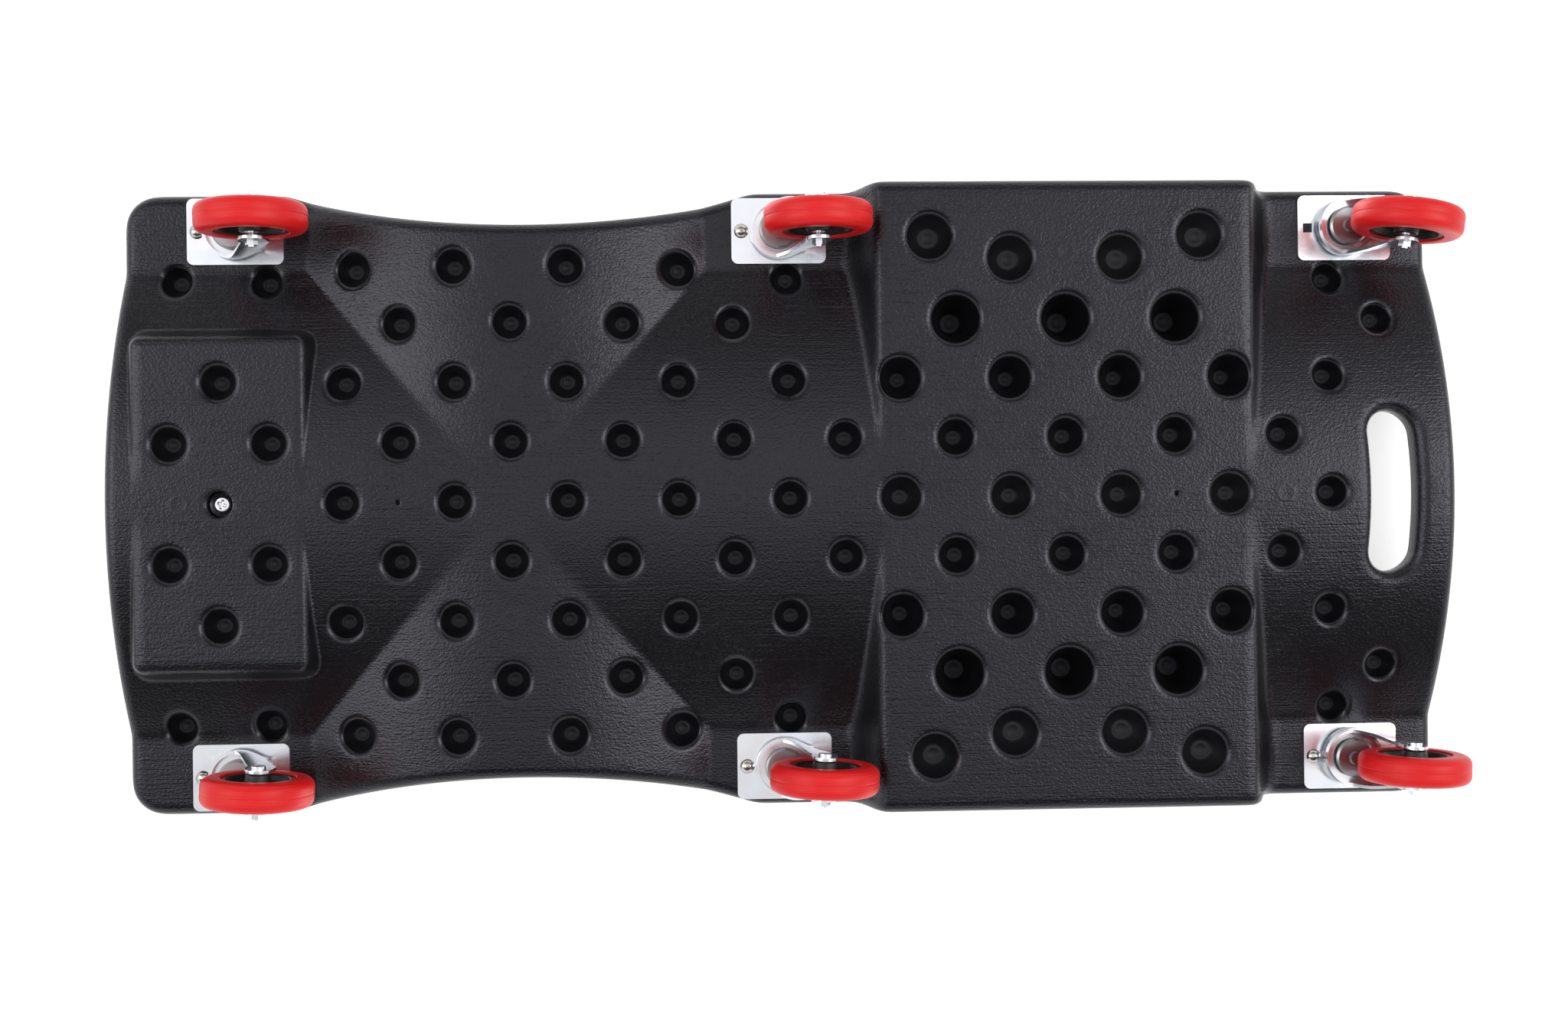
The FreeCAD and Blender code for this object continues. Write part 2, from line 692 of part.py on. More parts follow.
def make_headrest():
    """A board under a crowned cushion, held from below by one screw."""
    spine = spine_level()
    floor = spine + size("deck_thickness")
    at = size("head_block_centre")
    length, width = size("head_block_length"), size("head_block_width")
    inset = size("board_inset")
    corner = size("cushion_corner")
    wire = rounded_rectangle(at, 0, length - 2 * inset, width - 2 * inset, corner - inset, floor)
    plank = Part.Face(wire).extrude(Vector(0, 0, size("board_sheet")))
    pilot_radius = size("screw_diameter") / 2 + size("running_gap")
    pilot = Part.makeCylinder(pilot_radius, size("screw_bite") + 0.2, Vector(at, 0, floor))
    board = feature("headrest_board", plank.cut(pilot))

    rest = floor + size("board_sheet")
    height, draw = size("cushion_height"), size("cushion_draw")
    # Height share and inset of each section, from the flat base over the drawn-in side to the crown
    sections = [(0.0, 0.5 * draw), (0.3, draw), (0.62, 0.0), (0.86, 2 * draw), (1.0, 8 * draw)]
    wires = []
    for share, pull in sections:
        radius = corner + pull / 2
        wires.append(
            rounded_rectangle(at, 0, length - 2 * pull, width - 2 * pull, radius, rest + share * height)
        )
    cushion = feature("headrest_cushion", Part.makeLoft(wires, True, False))

    screw = new_body("headrest_screw")
    head, shank = "Sizes.screw_head / 2", "Sizes.screw_diameter / 2"
    foot = "Sizes.caster_height - Sizes.spine_drop + Sizes.deck_thickness - Sizes.screw_seat"
    tip = f"{foot} + Sizes.screw_seat + Sizes.screw_bite"
    outline = polygon(
        screw,
        "screw_profile",
        "XZ_Plane",
        [
            ("0", f"{foot} - Sizes.screw_head_height"),
            (f"{head} * 0.7", f"{foot} - Sizes.screw_head_height"),
            (head, f"{foot} - 0.3 * Sizes.screw_head_height"),
            (head, foot),
            (shank, foot),
            (shank, f"{tip} - Sizes.screw_diameter / 2"),
            ("0", tip),
        ],
    )
    turned(screw, outline)
    bind(screw, {"Placement.Base.x": "Sizes.head_block_centre"})
    return [board, cushion, screw]


# Casters


def make_plate(caster):
    """Caster plate: pressed steel with a race bead, square bolt holes and a countersink for the kingpin."""
    body = new_body(f"{caster[0]}_plate")
    half_length, half_width = "Sizes.plate_length / 2", "Sizes.plate_width / 2"
    sheet_section = polygon(
        body,
        f"{body.Name}_sheet",
        "XZ_Plane",
        [
            (f"-{half_length}", PLATE_BOTTOM),
            (half_length, PLATE_BOTTOM),
            (half_length, "Sizes.caster_height"),
            (f"-{half_length}", "Sizes.caster_height"),
        ],
    )
    flat = across_plane(body, sheet_section, "Pad", "Sizes.plate_width")
    rounded(body, flat, lambda edge: edge.BoundBox.ZLength > 1, "Sizes.plate_corner")
    bead = polygon(
        body,
        f"{body.Name}_bead",
        "XZ_Plane",
        [
            ("Sizes.bead_inner", PLATE_BOTTOM),
            ("Sizes.bead_outer", PLATE_BOTTOM),
            ("Sizes.bead_outer - Sizes.bead_depth / 2", BEAD_BOTTOM),
            ("Sizes.bead_inner + Sizes.bead_depth / 2", BEAD_BOTTOM),
        ],
    )
    turned(body, bead)
    race = circle(body, f"{body.Name}_race", "XZ_Plane", "Sizes.upper_race", UPPER_BALL, GROOVE)
    turned(body, race, "Groove")
    sink = polygon(
        body,
        f"{body.Name}_sink",
        "XZ_Plane",
        [
            ("0", "Sizes.caster_height"),
            ("Sizes.kingpin_head / 2", "Sizes.caster_height"),
            ("Sizes.kingpin_diameter / 2", PLATE_BOTTOM),
            ("0", PLATE_BOTTOM),
        ],
    )
    turned(body, sink, "Groove")
    hole = "Sizes.bolt_neck / 2 + Sizes.bolt_hole_play / 2"
    for end in (-1, 1):
        middle = f"{end} * Sizes.bolt_spacing / 2"
        square = polygon(
            body,
            f"{body.Name}_hole_{end + 1}",
            "XY_Plane",
            [
                (f"{middle} - ({hole})", f"-({hole})"),
                (f"{middle} + ({hole})", f"-({hole})"),
                (f"{middle} + ({hole})", hole),
                (f"{middle} - ({hole})", hole),
            ],
        )
        across_plane(body, square, "Pocket", "4 * Sizes.caster_height")
    return caster_place(body, caster, swung=False)


def make_kingpin(caster):
    """Kingpin: countersunk head, shank, lower race cup and swaged end."""
    body = new_body(f"{caster[0]}_kingpin")
    shank = "Sizes.kingpin_diameter / 2"
    cup_bottom = f"{CUP_TOP} - Sizes.cup_sheet"
    profile = polygon(
        body,
        f"{body.Name}_profile",
        "XZ_Plane",
        [
            ("0", "Sizes.caster_height"),
            ("Sizes.kingpin_head / 2", "Sizes.caster_height"),
            (shank, PLATE_BOTTOM),
            (shank, CUP_TOP),
            ("Sizes.cup_radius", CUP_TOP),
            ("Sizes.cup_radius", f"{cup_bottom} + 0.4 * Sizes.cup_sheet"),
            ("Sizes.cup_radius - 0.6 * Sizes.cup_sheet", cup_bottom),
            ("Sizes.rivet_radius", cup_bottom),
            ("0.8 * Sizes.rivet_radius", f"{cup_bottom} - Sizes.rivet_height"),
            ("0", f"{cup_bottom} - Sizes.rivet_height"),
        ],
    )
    turned(body, profile)
    race = circle(body, f"{body.Name}_race", "XZ_Plane", "Sizes.lower_race", LOWER_BALL, GROOVE)
    turned(body, race, "Groove")
    return caster_place(body, caster, swung=False)


def leg_line(out):
    """One side of the fork in plan: along the crown, then swept in to the axle. Pairs of expressions."""
    inner = "(Sizes.crown_radius - Sizes.fork_sheet)"
    swept = f"({inner} - Sizes.fork_gap / 2)"
    reach = "(Sizes.trail - 0.2 * Sizes.crown_radius)"
    line = [("-3 * Sizes.crown_radius", f"{inner} + {out}")]
    for step in range(7):
        share = step / 6
        ease = share * share * (3 - 2 * share)
        along = f"0.1 * Sizes.crown_radius + {share} * ({reach} - 0.1 * Sizes.crown_radius)"
        line.append((along, f"{inner} - {ease} * {swept} + {out}"))
    line.append(("4 * Sizes.crown_radius", f"Sizes.fork_gap / 2 + {out}"))
    return line


def make_fork(caster):
    """Fork: a lipped crown with two ball races, and two legs that sweep inwards and back to the axle."""
    body = new_body(f"{caster[0]}_fork")
    boss, trail, axle = "Sizes.fork_boss", "Sizes.trail", AXLE_HEIGHT
    radius = "Sizes.crown_radius"
    lip = f"{CROWN_TOP} - Sizes.crown_lip"
    side = polygon(
        body,
        f"{body.Name}_side",
        "XZ_Plane",
        [
            (f"-0.1 * {radius}", CROWN_TOP),
            (f"-0.1 * {radius}", lip),
            (f"{trail} - {boss}", f"{axle} + 0.7 * {boss}"),
            (f"{trail} - {boss}", f"{axle} - {boss}"),
            (f"{trail} + {boss}", f"{axle} - {boss}"),
            (f"{trail} + {boss}", f"{axle} + 1.4 * {boss}"),
            (f"0.95 * {radius}", lip),
            (f"0.95 * {radius}", CROWN_TOP),
        ],
    )
    block = across_plane(body, side, "Pad", f"3 * {radius}")
    foot = expression_value(f"{axle} - {boss}")
    rounded(
        body,
        block,
        lambda edge: edge.BoundBox.YLength > 1 and abs(edge.BoundBox.Center.z - foot) < 0.01,
        "0.98 * Sizes.fork_boss",
    )
    inner = leg_line("0")
    gap = inner + [(across, f"-({up})") for across, up in reversed(inner)]
    across_plane(body, polygon(body, f"{body.Name}_gap", "XY_Plane", gap), "Pocket", f"{FAR}")
    outer = leg_line("Sizes.fork_sheet")
    far = f"2 * {radius}"
    for label, way in (("left", ""), ("right", "-")):
        waste = [(across, f"{way}({up})") for across, up in outer]
        waste += [(f"4 * {radius}", f"{way}({far})"), (f"-3 * {radius}", f"{way}({far})")]
        across_plane(body, polygon(body, f"{body.Name}_{label}", "XY_Plane", waste), "Pocket", f"{FAR}")
    hollow = f"{radius} - Sizes.fork_sheet"
    crown = polygon(
        body,
        f"{body.Name}_crown",
        "XZ_Plane",
        [
            ("0", CROWN_BOTTOM),
            (hollow, CROWN_BOTTOM),
            (hollow, lip),
            (radius, lip),
            (radius, f"{CROWN_TOP} - Sizes.fork_sheet / 2"),
            (f"{radius} - Sizes.fork_sheet / 2", CROWN_TOP),
            ("0", CROWN_TOP),
        ],
    )
    turned(body, crown)
    for race, height in (("upper", UPPER_BALL), ("lower", LOWER_BALL)):
        ring = circle(body, f"{body.Name}_{race}", "XZ_Plane", f"Sizes.{race}_race", height, GROOVE)
        turned(body, ring, "Groove")
    bore = "Sizes.kingpin_diameter / 2 + 6 * Sizes.running_gap"
    across_plane(body, circle(body, f"{body.Name}_bore", "XY_Plane", "0", "0", bore), "Pocket", f"{FAR}")
    hole = "Sizes.axle_diameter / 2 + Sizes.running_gap"
    across_plane(body, circle(body, f"{body.Name}_axle", "XZ_Plane", trail, axle, hole), "Pocket", f"{FAR}")
    return caster_place(body, caster)


def wheel_piece(caster, name, corners):
    """A piece turned about the axle, from corners given as radius and place along the axle."""
    body = new_body(f"{caster[0]}_{name}")
    spun = turned(body, polygon(body, f"{body.Name}_profile", "XY_Plane", corners))
    caster_place(body, caster, astern="Sizes.trail", height=AXLE_HEIGHT)
    return body, spun


def make_tyre(caster):
    """Tyre: a solid tread with round shoulders, moulded on the hub."""
    inner, outer, half = "Sizes.hub_diameter / 2", "Sizes.wheel_diameter / 2", "Sizes.tyre_width / 2"
    corners = [(inner, f"-{half}"), (outer, f"-{half}"), (outer, half), (inner, half)]
    body, spun = wheel_piece(caster, "tyre", corners)
    radius = size("wheel_diameter") / 2
    rounded(
        body,
        spun,
        lambda edge: edge.Closed and abs(edge.BoundBox.XMax - radius) < 0.01,
        "Sizes.tyre_round",
    )
    return body


def make_hub(caster):
    """Hub: a rim and a boss joined by a thin web, dished on both faces."""
    bore, boss = "Sizes.bush_diameter / 2", "Sizes.hub_boss / 2"
    rim, outer = "Sizes.hub_diameter / 2 - Sizes.hub_rim_wall", "Sizes.hub_diameter / 2"
    rim_half, web = "Sizes.hub_rim_width / 2", "Sizes.hub_web / 2"

    def face(reach):
        """One face of the hub from the bore to the rim."""
        return [
            (bore, reach),
            (f"{boss} - 1", reach),
            (f"{boss} + 1", web),
            (f"{rim} - 1.5", web),
            (rim, rim_half),
            (outer, rim_half),
        ]

    other = [(across, f"-({up})") for across, up in reversed(face("Sizes.boss_long"))]
    return wheel_piece(caster, "hub", face("Sizes.boss_short") + other)[0]


def make_bush(caster):
    """Bush: a tube pressed in the hub that turns on the axle bolt."""
    inner = "Sizes.axle_diameter / 2 + Sizes.running_gap"
    outer, low, high = "Sizes.bush_diameter / 2", "-Sizes.boss_long", "Sizes.boss_short"
    return wheel_piece(caster, "bush", [(inner, low), (outer, low), (outer, high), (inner, high)])[0]


def along_axle(target, start):
    """Lays an upright piece along the axle, from a place given as an expression."""
    target.Placement = Placement(Vector(0, 0, 0), Rotation(Vector(1, 0, 0), -90))
    return bind(target, {"Placement.Base.y": start})


def make_axle(caster):
    """Axle bolt through the fork legs and the bush, and its nut."""
    name = caster[0]
    outside = f"-({LEG_OUTER}) - Sizes.axle_head"
    head = along_axle(doc.addObject("Part::Cylinder", f"{name}_axle_head"), outside)
    bind(head, {"Radius": "Sizes.axle_head_diameter / 2", "Height": "Sizes.axle_head"})
    shank = along_axle(doc.addObject("Part::Cylinder", f"{name}_axle_shank"), f"-({LEG_OUTER})")
    length = f"2 * ({LEG_OUTER}) + 1.3 * Sizes.axle_nut"
    bind(shank, {"Radius": "Sizes.axle_diameter / 2", "Height": length})
    solid = doc.addObject("Part::Fuse", f"{name}_axle_blank")
    solid.Base = head
    solid.Tool = shank
    socket = along_axle(doc.addObject("Part::Prism", f"{name}_axle_socket"), f"{outside} - 1")
    socket.Polygon = 6
    across = math.cos(math.pi / 6)
    depth = "0.7 * Sizes.axle_head + 1"
    bind(socket, {"Circumradius": f"Sizes.axle_socket / 2 / {across}", "Height": depth})
    bolt = doc.addObject("Part::Cut", f"{name}_axle_bolt")
    bolt.Base = solid
    bolt.Tool = socket
    blank = along_axle(doc.addObject("Part::Prism", f"{name}_nut_blank"), LEG_OUTER)
    blank.Polygon = 6
    bind(blank, {"Circumradius": f"Sizes.axle_nut_flats / 2 / {across}", "Height": "Sizes.axle_nut"})
    bore = along_axle(doc.addObject("Part::Cylinder", f"{name}_nut_bore"), f"{LEG_OUTER} - 1")
    bind(bore, {"Radius": "Sizes.axle_diameter / 2 + Sizes.running_gap", "Height": "Sizes.axle_nut + 2"})
    nut = doc.addObject("Part::Cut", f"{name}_axle_nut")
    nut.Base = blank
    nut.Tool = bore
    for piece in (bolt, nut):
        piece.Label = piece.Name
        caster_place(piece, caster, astern="Sizes.trail", height=AXLE_HEIGHT)
    return [bolt, nut]


def ball_rings():
    """All the bearing balls: an upper and a lower ring in each caster."""
    radius = size("ball_diameter") / 2
    rings = [
        (int(size("upper_balls")), size("upper_race"), expression_value(UPPER_BALL)),
        (int(size("lower_balls")), size("lower_race"), expression_value(LOWER_BALL)),
    ]
    balls = []
    for name, along, out, side, swing in CASTERS:
        middle = Vector(size(along), side * size(out), 0)
        for count, pitch, height in rings:
            for number in range(count):
                turn = 2 * math.pi * number / count
                place = middle + Vector(pitch * math.cos(turn), pitch * math.sin(turn), height)
                balls.append(Part.makeSphere(radius, place))
    return feature("bearing_balls", Part.makeCompound(balls))


def bolt_places():
    """Where caster bolts are fitted, leaving the empty hole out."""
    return [
        Vector(size(along) + end * size("bolt_spacing") / 2, side * size(out), 0)
        for name, along, out, side, swing in CASTERS
        for end in (-1, 1)
        if (name, end) != EMPTY_HOLE
    ]


def make_caster_fasteners():
    """Mushroom-head bolts up through the plates, and their nuts in the pockets of the deck rim."""
    under = size("caster_height") - size("plate_sheet")
    rim = size("caster_height") + size("deck_thickness")
    seat = rim - size("nut_pocket_depth")
    head, tall = size("bolt_head") / 2, size("bolt_head_height")
    dome = (head * head + tall * tall) / (2 * tall)
    ball = Part.makeSphere(dome, Vector(0, 0, under - tall + dome))
    cap = ball.common(Part.makeCylinder(head, tall, Vector(0, 0, under - tall)))
    neck = size("bolt_neck")
    square = Part.makeBox(neck, neck, size("plate_sheet"), Vector(-neck / 2, -neck / 2, under))
    end = seat + 1.2 * size("nut_height")
    shank = Part.makeCylinder(size("bolt_diameter") / 2, end - under, Vector(0, 0, under))
    bolt = cap.fuse([square, shank]).removeSplitter()
    corner = size("nut_flats") / 2 / math.cos(math.pi / 6)
    corners = [
        Vector(corner * math.cos(turn * math.pi / 3), corner * math.sin(turn * math.pi / 3), seat)
        for turn in range(7)
    ]
    hexagon = Part.Face(Part.makePolygon(corners)).extrude(Vector(0, 0, size("nut_height")))
    bore_radius = size("bolt_diameter") / 2 + size("running_gap")
    nut = hexagon.cut(Part.makeCylinder(bore_radius, 2 * size("nut_height"), Vector(0, 0, seat - 1)))
    places = bolt_places()
    return [
        feature("caster_bolts", Part.makeCompound([bolt.translated(place) for place in places])),
        feature("caster_nuts", Part.makeCompound([nut.translated(place) for place in places])),
    ]


def build():
    """Makes every piece of the creeper."""
    pieces = [make_deck()]
    pieces += make_headrest()
    for caster in CASTERS:
        pieces += [make_plate(caster), make_kingpin(caster), make_fork(caster)]
        pieces += make_axle(caster)
        pieces += [make_bush(caster), make_hub(caster), make_tyre(caster)]
    pieces.append(ball_rings())
    pieces += make_caster_fasteners()
    doc.recompute()
    return pieces


def write(pieces):
    """Writes each piece to its own file once the whole document is sound."""
    for item in doc.Objects:
        faults = {"Invalid", "Error"} & set(item.State)
        if faults:
            raise RuntimeError(f"{item.Label}: {sorted(faults)}")
    for piece in pieces:
        if piece.Shape.isNull() or not piece.Shape.isValid():
            raise RuntimeError(f"{piece.Label}: no valid shape")
    os.makedirs("parts", exist_ok=True)
    for piece in pieces:
        piece.Shape.exportStep(f"parts/{piece.Label}.step")


write(build())
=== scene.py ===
"""Looks of the mechanic creeper: moulded deck, casters, headrest and the white studio round them.

Lengths inside the functions are millimetres in the frame of the part: +Z up, +X from headrest to slot.
"""

import math
from collections import namedtuple

import bmesh
import bpy
import numpy as np
from bpy.props import FloatProperty, FloatVectorProperty, PointerProperty
from mathutils import Matrix, Vector
from mathutils.geometry import delaunay_2d_cdt


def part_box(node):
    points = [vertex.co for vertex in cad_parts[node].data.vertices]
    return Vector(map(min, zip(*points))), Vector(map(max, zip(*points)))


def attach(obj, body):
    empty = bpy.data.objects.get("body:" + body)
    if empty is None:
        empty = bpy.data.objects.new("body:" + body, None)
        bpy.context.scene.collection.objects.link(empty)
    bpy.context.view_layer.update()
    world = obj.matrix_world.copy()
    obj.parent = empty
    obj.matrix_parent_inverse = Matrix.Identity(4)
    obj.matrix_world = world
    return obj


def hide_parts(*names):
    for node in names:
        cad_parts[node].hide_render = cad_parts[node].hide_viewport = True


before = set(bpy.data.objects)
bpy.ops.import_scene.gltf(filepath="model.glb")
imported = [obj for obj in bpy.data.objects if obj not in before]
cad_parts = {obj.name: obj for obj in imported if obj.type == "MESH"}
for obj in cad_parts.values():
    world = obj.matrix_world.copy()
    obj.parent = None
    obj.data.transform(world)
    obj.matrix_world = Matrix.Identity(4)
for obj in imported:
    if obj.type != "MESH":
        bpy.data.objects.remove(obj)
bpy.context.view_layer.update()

bl_info = {
    "name": "Mechanic creeper",
    "version": (1, 0, 0),
    "blender": (4, 5, 0),
    "location": "View3D > Sidebar > Creeper",
    "description": "Builds the visible surfaces of a moulded mechanic creeper",
    "category": "Object",
}

MM = 0.001

# Casters: x and y of the swivel axis and the turn of the fork in degrees; wheel and bolts about that axis
CASTERS = {
    "head_left": (-415.5, 206.0, 3.0),
    "head_right": (-415.5, -206.0, -1.2),
    "middle_left": (-5.4, 204.4, 2.5),
    "middle_right": (-5.4, -204.4, -0.5),
    "foot_left": (432.5, 204.4, 1.4),
    "foot_right": (432.5, -204.4, 8.5),
}
TRAIL, WHEEL, BOLT_SPREAD = 27.0, 40.0, 28.5
STEEL = ("plate", "kingpin", "fork", "bolt", "bolts", "nut", "nuts", "bush", "balls")

# Plan of the deck: ends on the centre line and beside it, sides at the pads and at the trays
END, HEAD, FOOT = 505.0, 499.8, 498.0
SIDE, WIDE = 234.5, 238.5
CORNER, BOW_HALF = 24.0, 174.0
WAIST = ((-379.0, SIDE), (-203.0, 206.0), (-27.0, SIDE))
TRAY_SIDE = ((56.0, SIDE), (65.0, WIDE), (352.0, WIDE), (358.0, SIDE))

# Levels of the underside, bends of its curves per square millimetre and roundings where they meet
SPINE, PAD, THICK = 62.0, 100.0, 21.0
RIM = PAD + THICK
PAD_INNER, PAD_ROUND = 174.0, 1.2
FLANK_BEND = (PAD - SPINE) / PAD_INNER**2
VALLEY_X, VALLEY_BEND, VALLEY_ROUND = -212.0, 0.00162, 0.8
FACET_ROOT, FACET_SLOPE, FACET_ROUND = 25.0, 0.01, 9.0

# Blocks: plan, rise of the wall per millimetre outwards, rounding of its lower edge, and of its foot
# as a share of the wall's height and at most. Over the flare the most doubles.
Block = namedtuple("Block", "middle half corner rise rounding share most")
BLOCK_X, BLOCK_HALF = 208.0, 144.0
HEAD_X, HEAD_HALF, HEAD_CORNER = -420.5, (65.0, 125.0), 9.0
TRAY_BLOCK = Block(BLOCK_X, (BLOCK_HALF - 0.5, 260.0), 8.0, 2.86, 6.0, 0.8, 18.0)
HEAD_BLOCK = Block(HEAD_X, HEAD_HALF, HEAD_CORNER, 4.5, 4.6, 0.15, 2.0)
FLARE, LEAST_FOOT = (140.0, 180.0), 0.02

# Edges of the deck and the carry slot: roundings, draft, and the slot's middle, width, length and bow
TOP_EDGE, SIDE_DRAFT = 5.0, 0.05
SLOT, SLOT_BOW, SLOT_TOP = (458.0, 35.0, 122.0), 1.7, 4.0

# Pockets of the top: trays, headrest pocket, and the nut pocket as radius and depth
TRAY_Y, TRAY_HALF, TRAY_CORNER = 196.5, (131.0, 32.0), 14.0
TRAY_FLOOR, TRAY_RIM, TRAY_FOOT = SPINE + 20.0, 2.5, 6.0
POCKET_HALF, POCKET_CORNER = (70.0, 130.0), 22.0
POCKET_FLOOR, POCKET_RIM = SPINE + THICK - 0.3, 3.0
NUT_POCKET = [(10.0, 0.0), (9.0, 0.35), (8.6, 1.2), (8.5, 6.8), (8.3, 7.0), (3.2, 7.0)]

# Recesses in regular rows: pitch, distance of rows, first and last steps, mouths, mouths in the tray block
PITCH, ROW = 82.8, 44.3
ROW_START, ROW_ENDS = -4, [4, 4, 4, -1]
ROW_MOUTH, BLOCK_ROW_MOUTHS = 24.0, [29, 26, 31, 0]

# Recesses off the rows: x or distance from the block's middle, distance from the centre line, mouth
PAD_RECESSES = [(-460, 168, 22), (-393, 167, 22), (0, 167.6, 22), (419, 165.2, 22)]
WAIST_RECESSES = [(-325.4, 174.7, 25), (-248.4, 174.7, 25), (-165.6, 174.7, 25), (-82.8, 174.7, 25)]
FOOT_RECESSES = [(408.7, 0, 22.5), (410, 88.6, 22.5), (452.6, 132.4, 22.5)]
TRAY_RECESSES = [(101.9, 194.4, 33), (41.4, 178, 33), (82.8, 132.6, 36), (0, 132.6, 36)]
HEAD_RECESSES = [(0, 89.7, 25), (36.4, 44.5, 25)]

# Section of a recess: skin over it, rim, floor radius of a small and a large one, grain along its rings
SKIN, RIM_BEND, RIM_TURN, RIM_OUTSIDE = 4.5, 6.4, math.radians(66), 0.78
SMALL_FLOOR, LARGE_FLOOR, LARGE_MOUTH = 5.3, 7.4, 32
WALL_SHARES, FLOOR_ROUND, FLOOR_RING = (0.5, 0.92), 0.8, [(0.7, 0.55), (0.58, 0.55), (0.5, 0.0)]
RECESS_SIDES, RECESS_GRAIN = 36, ((0, 2, 6, 9), (1.0, 0.4, 0.25, 0.0))

# Air vents on the centre line, faint rings of the mould, the screw's recess: sections as radius and depth
VENTS = [-289.8, 289.8]
MARKS = [(-41.4, 0), (-207, 88.6), (-207, -88.6), (208, -182), (207, 0), (373, 0), (-449, 0)]
VENT = [(2.6, 0), (1.8, 0.15), (1.5, 0.6), (1.4, 4.0)]
MARK = [(6.6, 0), (6.3, -0.03), (6.0, -0.04), (5.7, -0.03), (5.4, 0)]
SCREW_DEPTH = THICK - 8.0
SCREW_RECESS = [(11.4, 0), (10.7, 0.15), (10.2, 0.6), (10.0, 1.4)]
SCREW_RECESS += [(9.9, SCREW_DEPTH - 0.6), (9.3, SCREW_DEPTH)]

# Screw: head, cross with the end and the width of the ramps at its sides and tips, shank
SCREW_HEAD, SCREW_RISE, DOME, FIRST_TURN = 6.2, 3.2, 6.25, 0.35
CROSS_WAY, CROSS_DEPTH, ARM_SIDE, ARM_TIP = (0.94, 0.34), 0.9, (1.15, 0.4), (3.5, 0.9)
SHANK, SHANK_LENGTH, SCREW_LENGTH = 2.5, 10.5, 13.0

# Points of the deck's two skins: spacing, distance kept from edges, creases and walls,
# and lines along creases and walls: places outwards and shifts
UNDER_STEP, UNDER_MARGIN, UNDER_CLEAR, TRAY_CLEAR = 4.4, 1.6, 3.0, 3.2
TOP_STEP, TOP_MARGIN, TOP_CLEAR = 6.0, 2.0, 4.0
CREASE_OUT, CREASE_LINES = np.arange(20.0, 226.0, 2.5), (-5.0, -2.5, 0.0, 2.5, 5.0)
WALL_OUT = np.arange(60.0, 237.0, 4.0)
TRAY_LINES = (-5.5, -3.5, -1.7, 0.0, 1.7, 3.5, 6, 8.5, 11, 13.5, 16.5, 20, 24, 28)
HEAD_LINES = (-4.5, -2.5, -1.0, 0.4, 1.6, 2.8, 4.2, 5.8, 7.6, 9.6, 12.0)
CHUNKS = 60

# Colours of the finishes, and how rough some are, alone or over the zinc
ZINC, GREASED_ZINC, GREASE_ROUGH = (0.79, 0.81, 0.85), (0.36, 0.35, 0.36), 0.1
NICKEL, NICKEL_ROUGH = (0.60, 0.56, 0.52), -0.05
SCREW_ZINC, SCREW_ROUGH = (0.78, 0.79, 0.82), 0.22
HUB_BLACK = VINYL = (0.012, 0.012, 0.013)
SCUFF, PLYWOOD, BOARD_EDGE = (0.8, 0.22, 0.2), (0.42, 0.29, 0.16), 0.5


# Shapes of the deck


def ease(u, width):
    """Positive part of u with a rounded corner: (u + w)^2 / 4w between -w and w, 0 below and u above."""
    bend = (u + width) ** 2 / (4 * width)
    return np.where(u <= -width, 0.0, np.where(u >= width, u, bend))


def trough(out):
    """Section across the deck: a parabola from the spine up the flank, cut off level at the caster pads."""
    return PAD - ease(PAD - SPINE - FLANK_BEND * out**2, PAD_ROUND)


def hull(x, y):
    """Underside without blocks: the trough along the deck crossed by a low valley at the waist.

    The valley rises as a facet with |y| and as a parabola along x, and meets the flanks in crossed creases.
    """
    out = np.abs(y)
    across = trough(out)
    facet = FACET_SLOPE * ease(out - FACET_ROOT, FACET_ROUND)
    valley = SPINE + facet + VALLEY_BEND * (x - VALLEY_X) ** 2
    return across - ease(across - valley, VALLEY_ROUND)


def box_distance(x, y, middle, half, corner):
    """Signed distance to a level rectangle with round corners, positive outside."""
    over_x = np.abs(x - middle) - half[0] + corner
    over_y = np.abs(y) - half[1] + corner
    outside = np.hypot(np.maximum(over_x, 0), np.maximum(over_y, 0))
    return outside + np.minimum(np.maximum(over_x, over_y), 0) - corner


def underside(x, y):
    """Hull with the two blocks let down to the spine.

    Each wall rises in proportion to the distance from the block's plan. Its foot is rounded by a share of
    its height, up to a limit that doubles over the flare towards the pads.
    """
    level = hull(x, y)
    flare = 1 + np.clip((np.abs(y) - FLARE[0]) / (FLARE[1] - FLARE[0]), 0, 1) ** 2
    for block in (TRAY_BLOCK, HEAD_BLOCK):
        out = box_distance(x, y, block.middle, block.half, block.corner)
        wall = SPINE + block.rise * ease(out, block.rounding)
        foot = np.clip(block.share * (level - SPINE), LEAST_FOOT, block.most * flare)
        level = level - ease(level - wall, foot)
    return level


def upper(x, y):
    """Top skin: the hull raised by the thickness of the deck."""
    return hull(x, y) + THICK


def arc(first, through, last, step):
    """Points on the circle through three points, from the first to just before the last."""
    a, b, c = (complex(*p) for p in (first, through, last))
    w = (c - a) / (b - a)
    middle = (b - a) * (w - abs(w) ** 2) / (2j * w.imag) + a
    radius = abs(a - middle)
    start = np.angle(a - middle)
    half = np.angle((b - middle) / (a - middle))
    sweep = np.angle((c - middle) / (a - middle))
    if sweep * half < 0:
        sweep += math.copysign(math.tau, half)
    count = max(2, int(abs(sweep) * radius / step))
    turn = start + sweep * np.arange(count) / count
    return np.c_[middle.real + radius * np.cos(turn), middle.imag + radius * np.sin(turn)]


def line(first, last, step):
    """Even points from the first to just before the last."""
    first, last = np.array(first, float), np.array(last, float)
    count = max(1, int(np.linalg.norm(last - first) / step))
    return first + (last - first) * (np.arange(count) / count)[:, None]


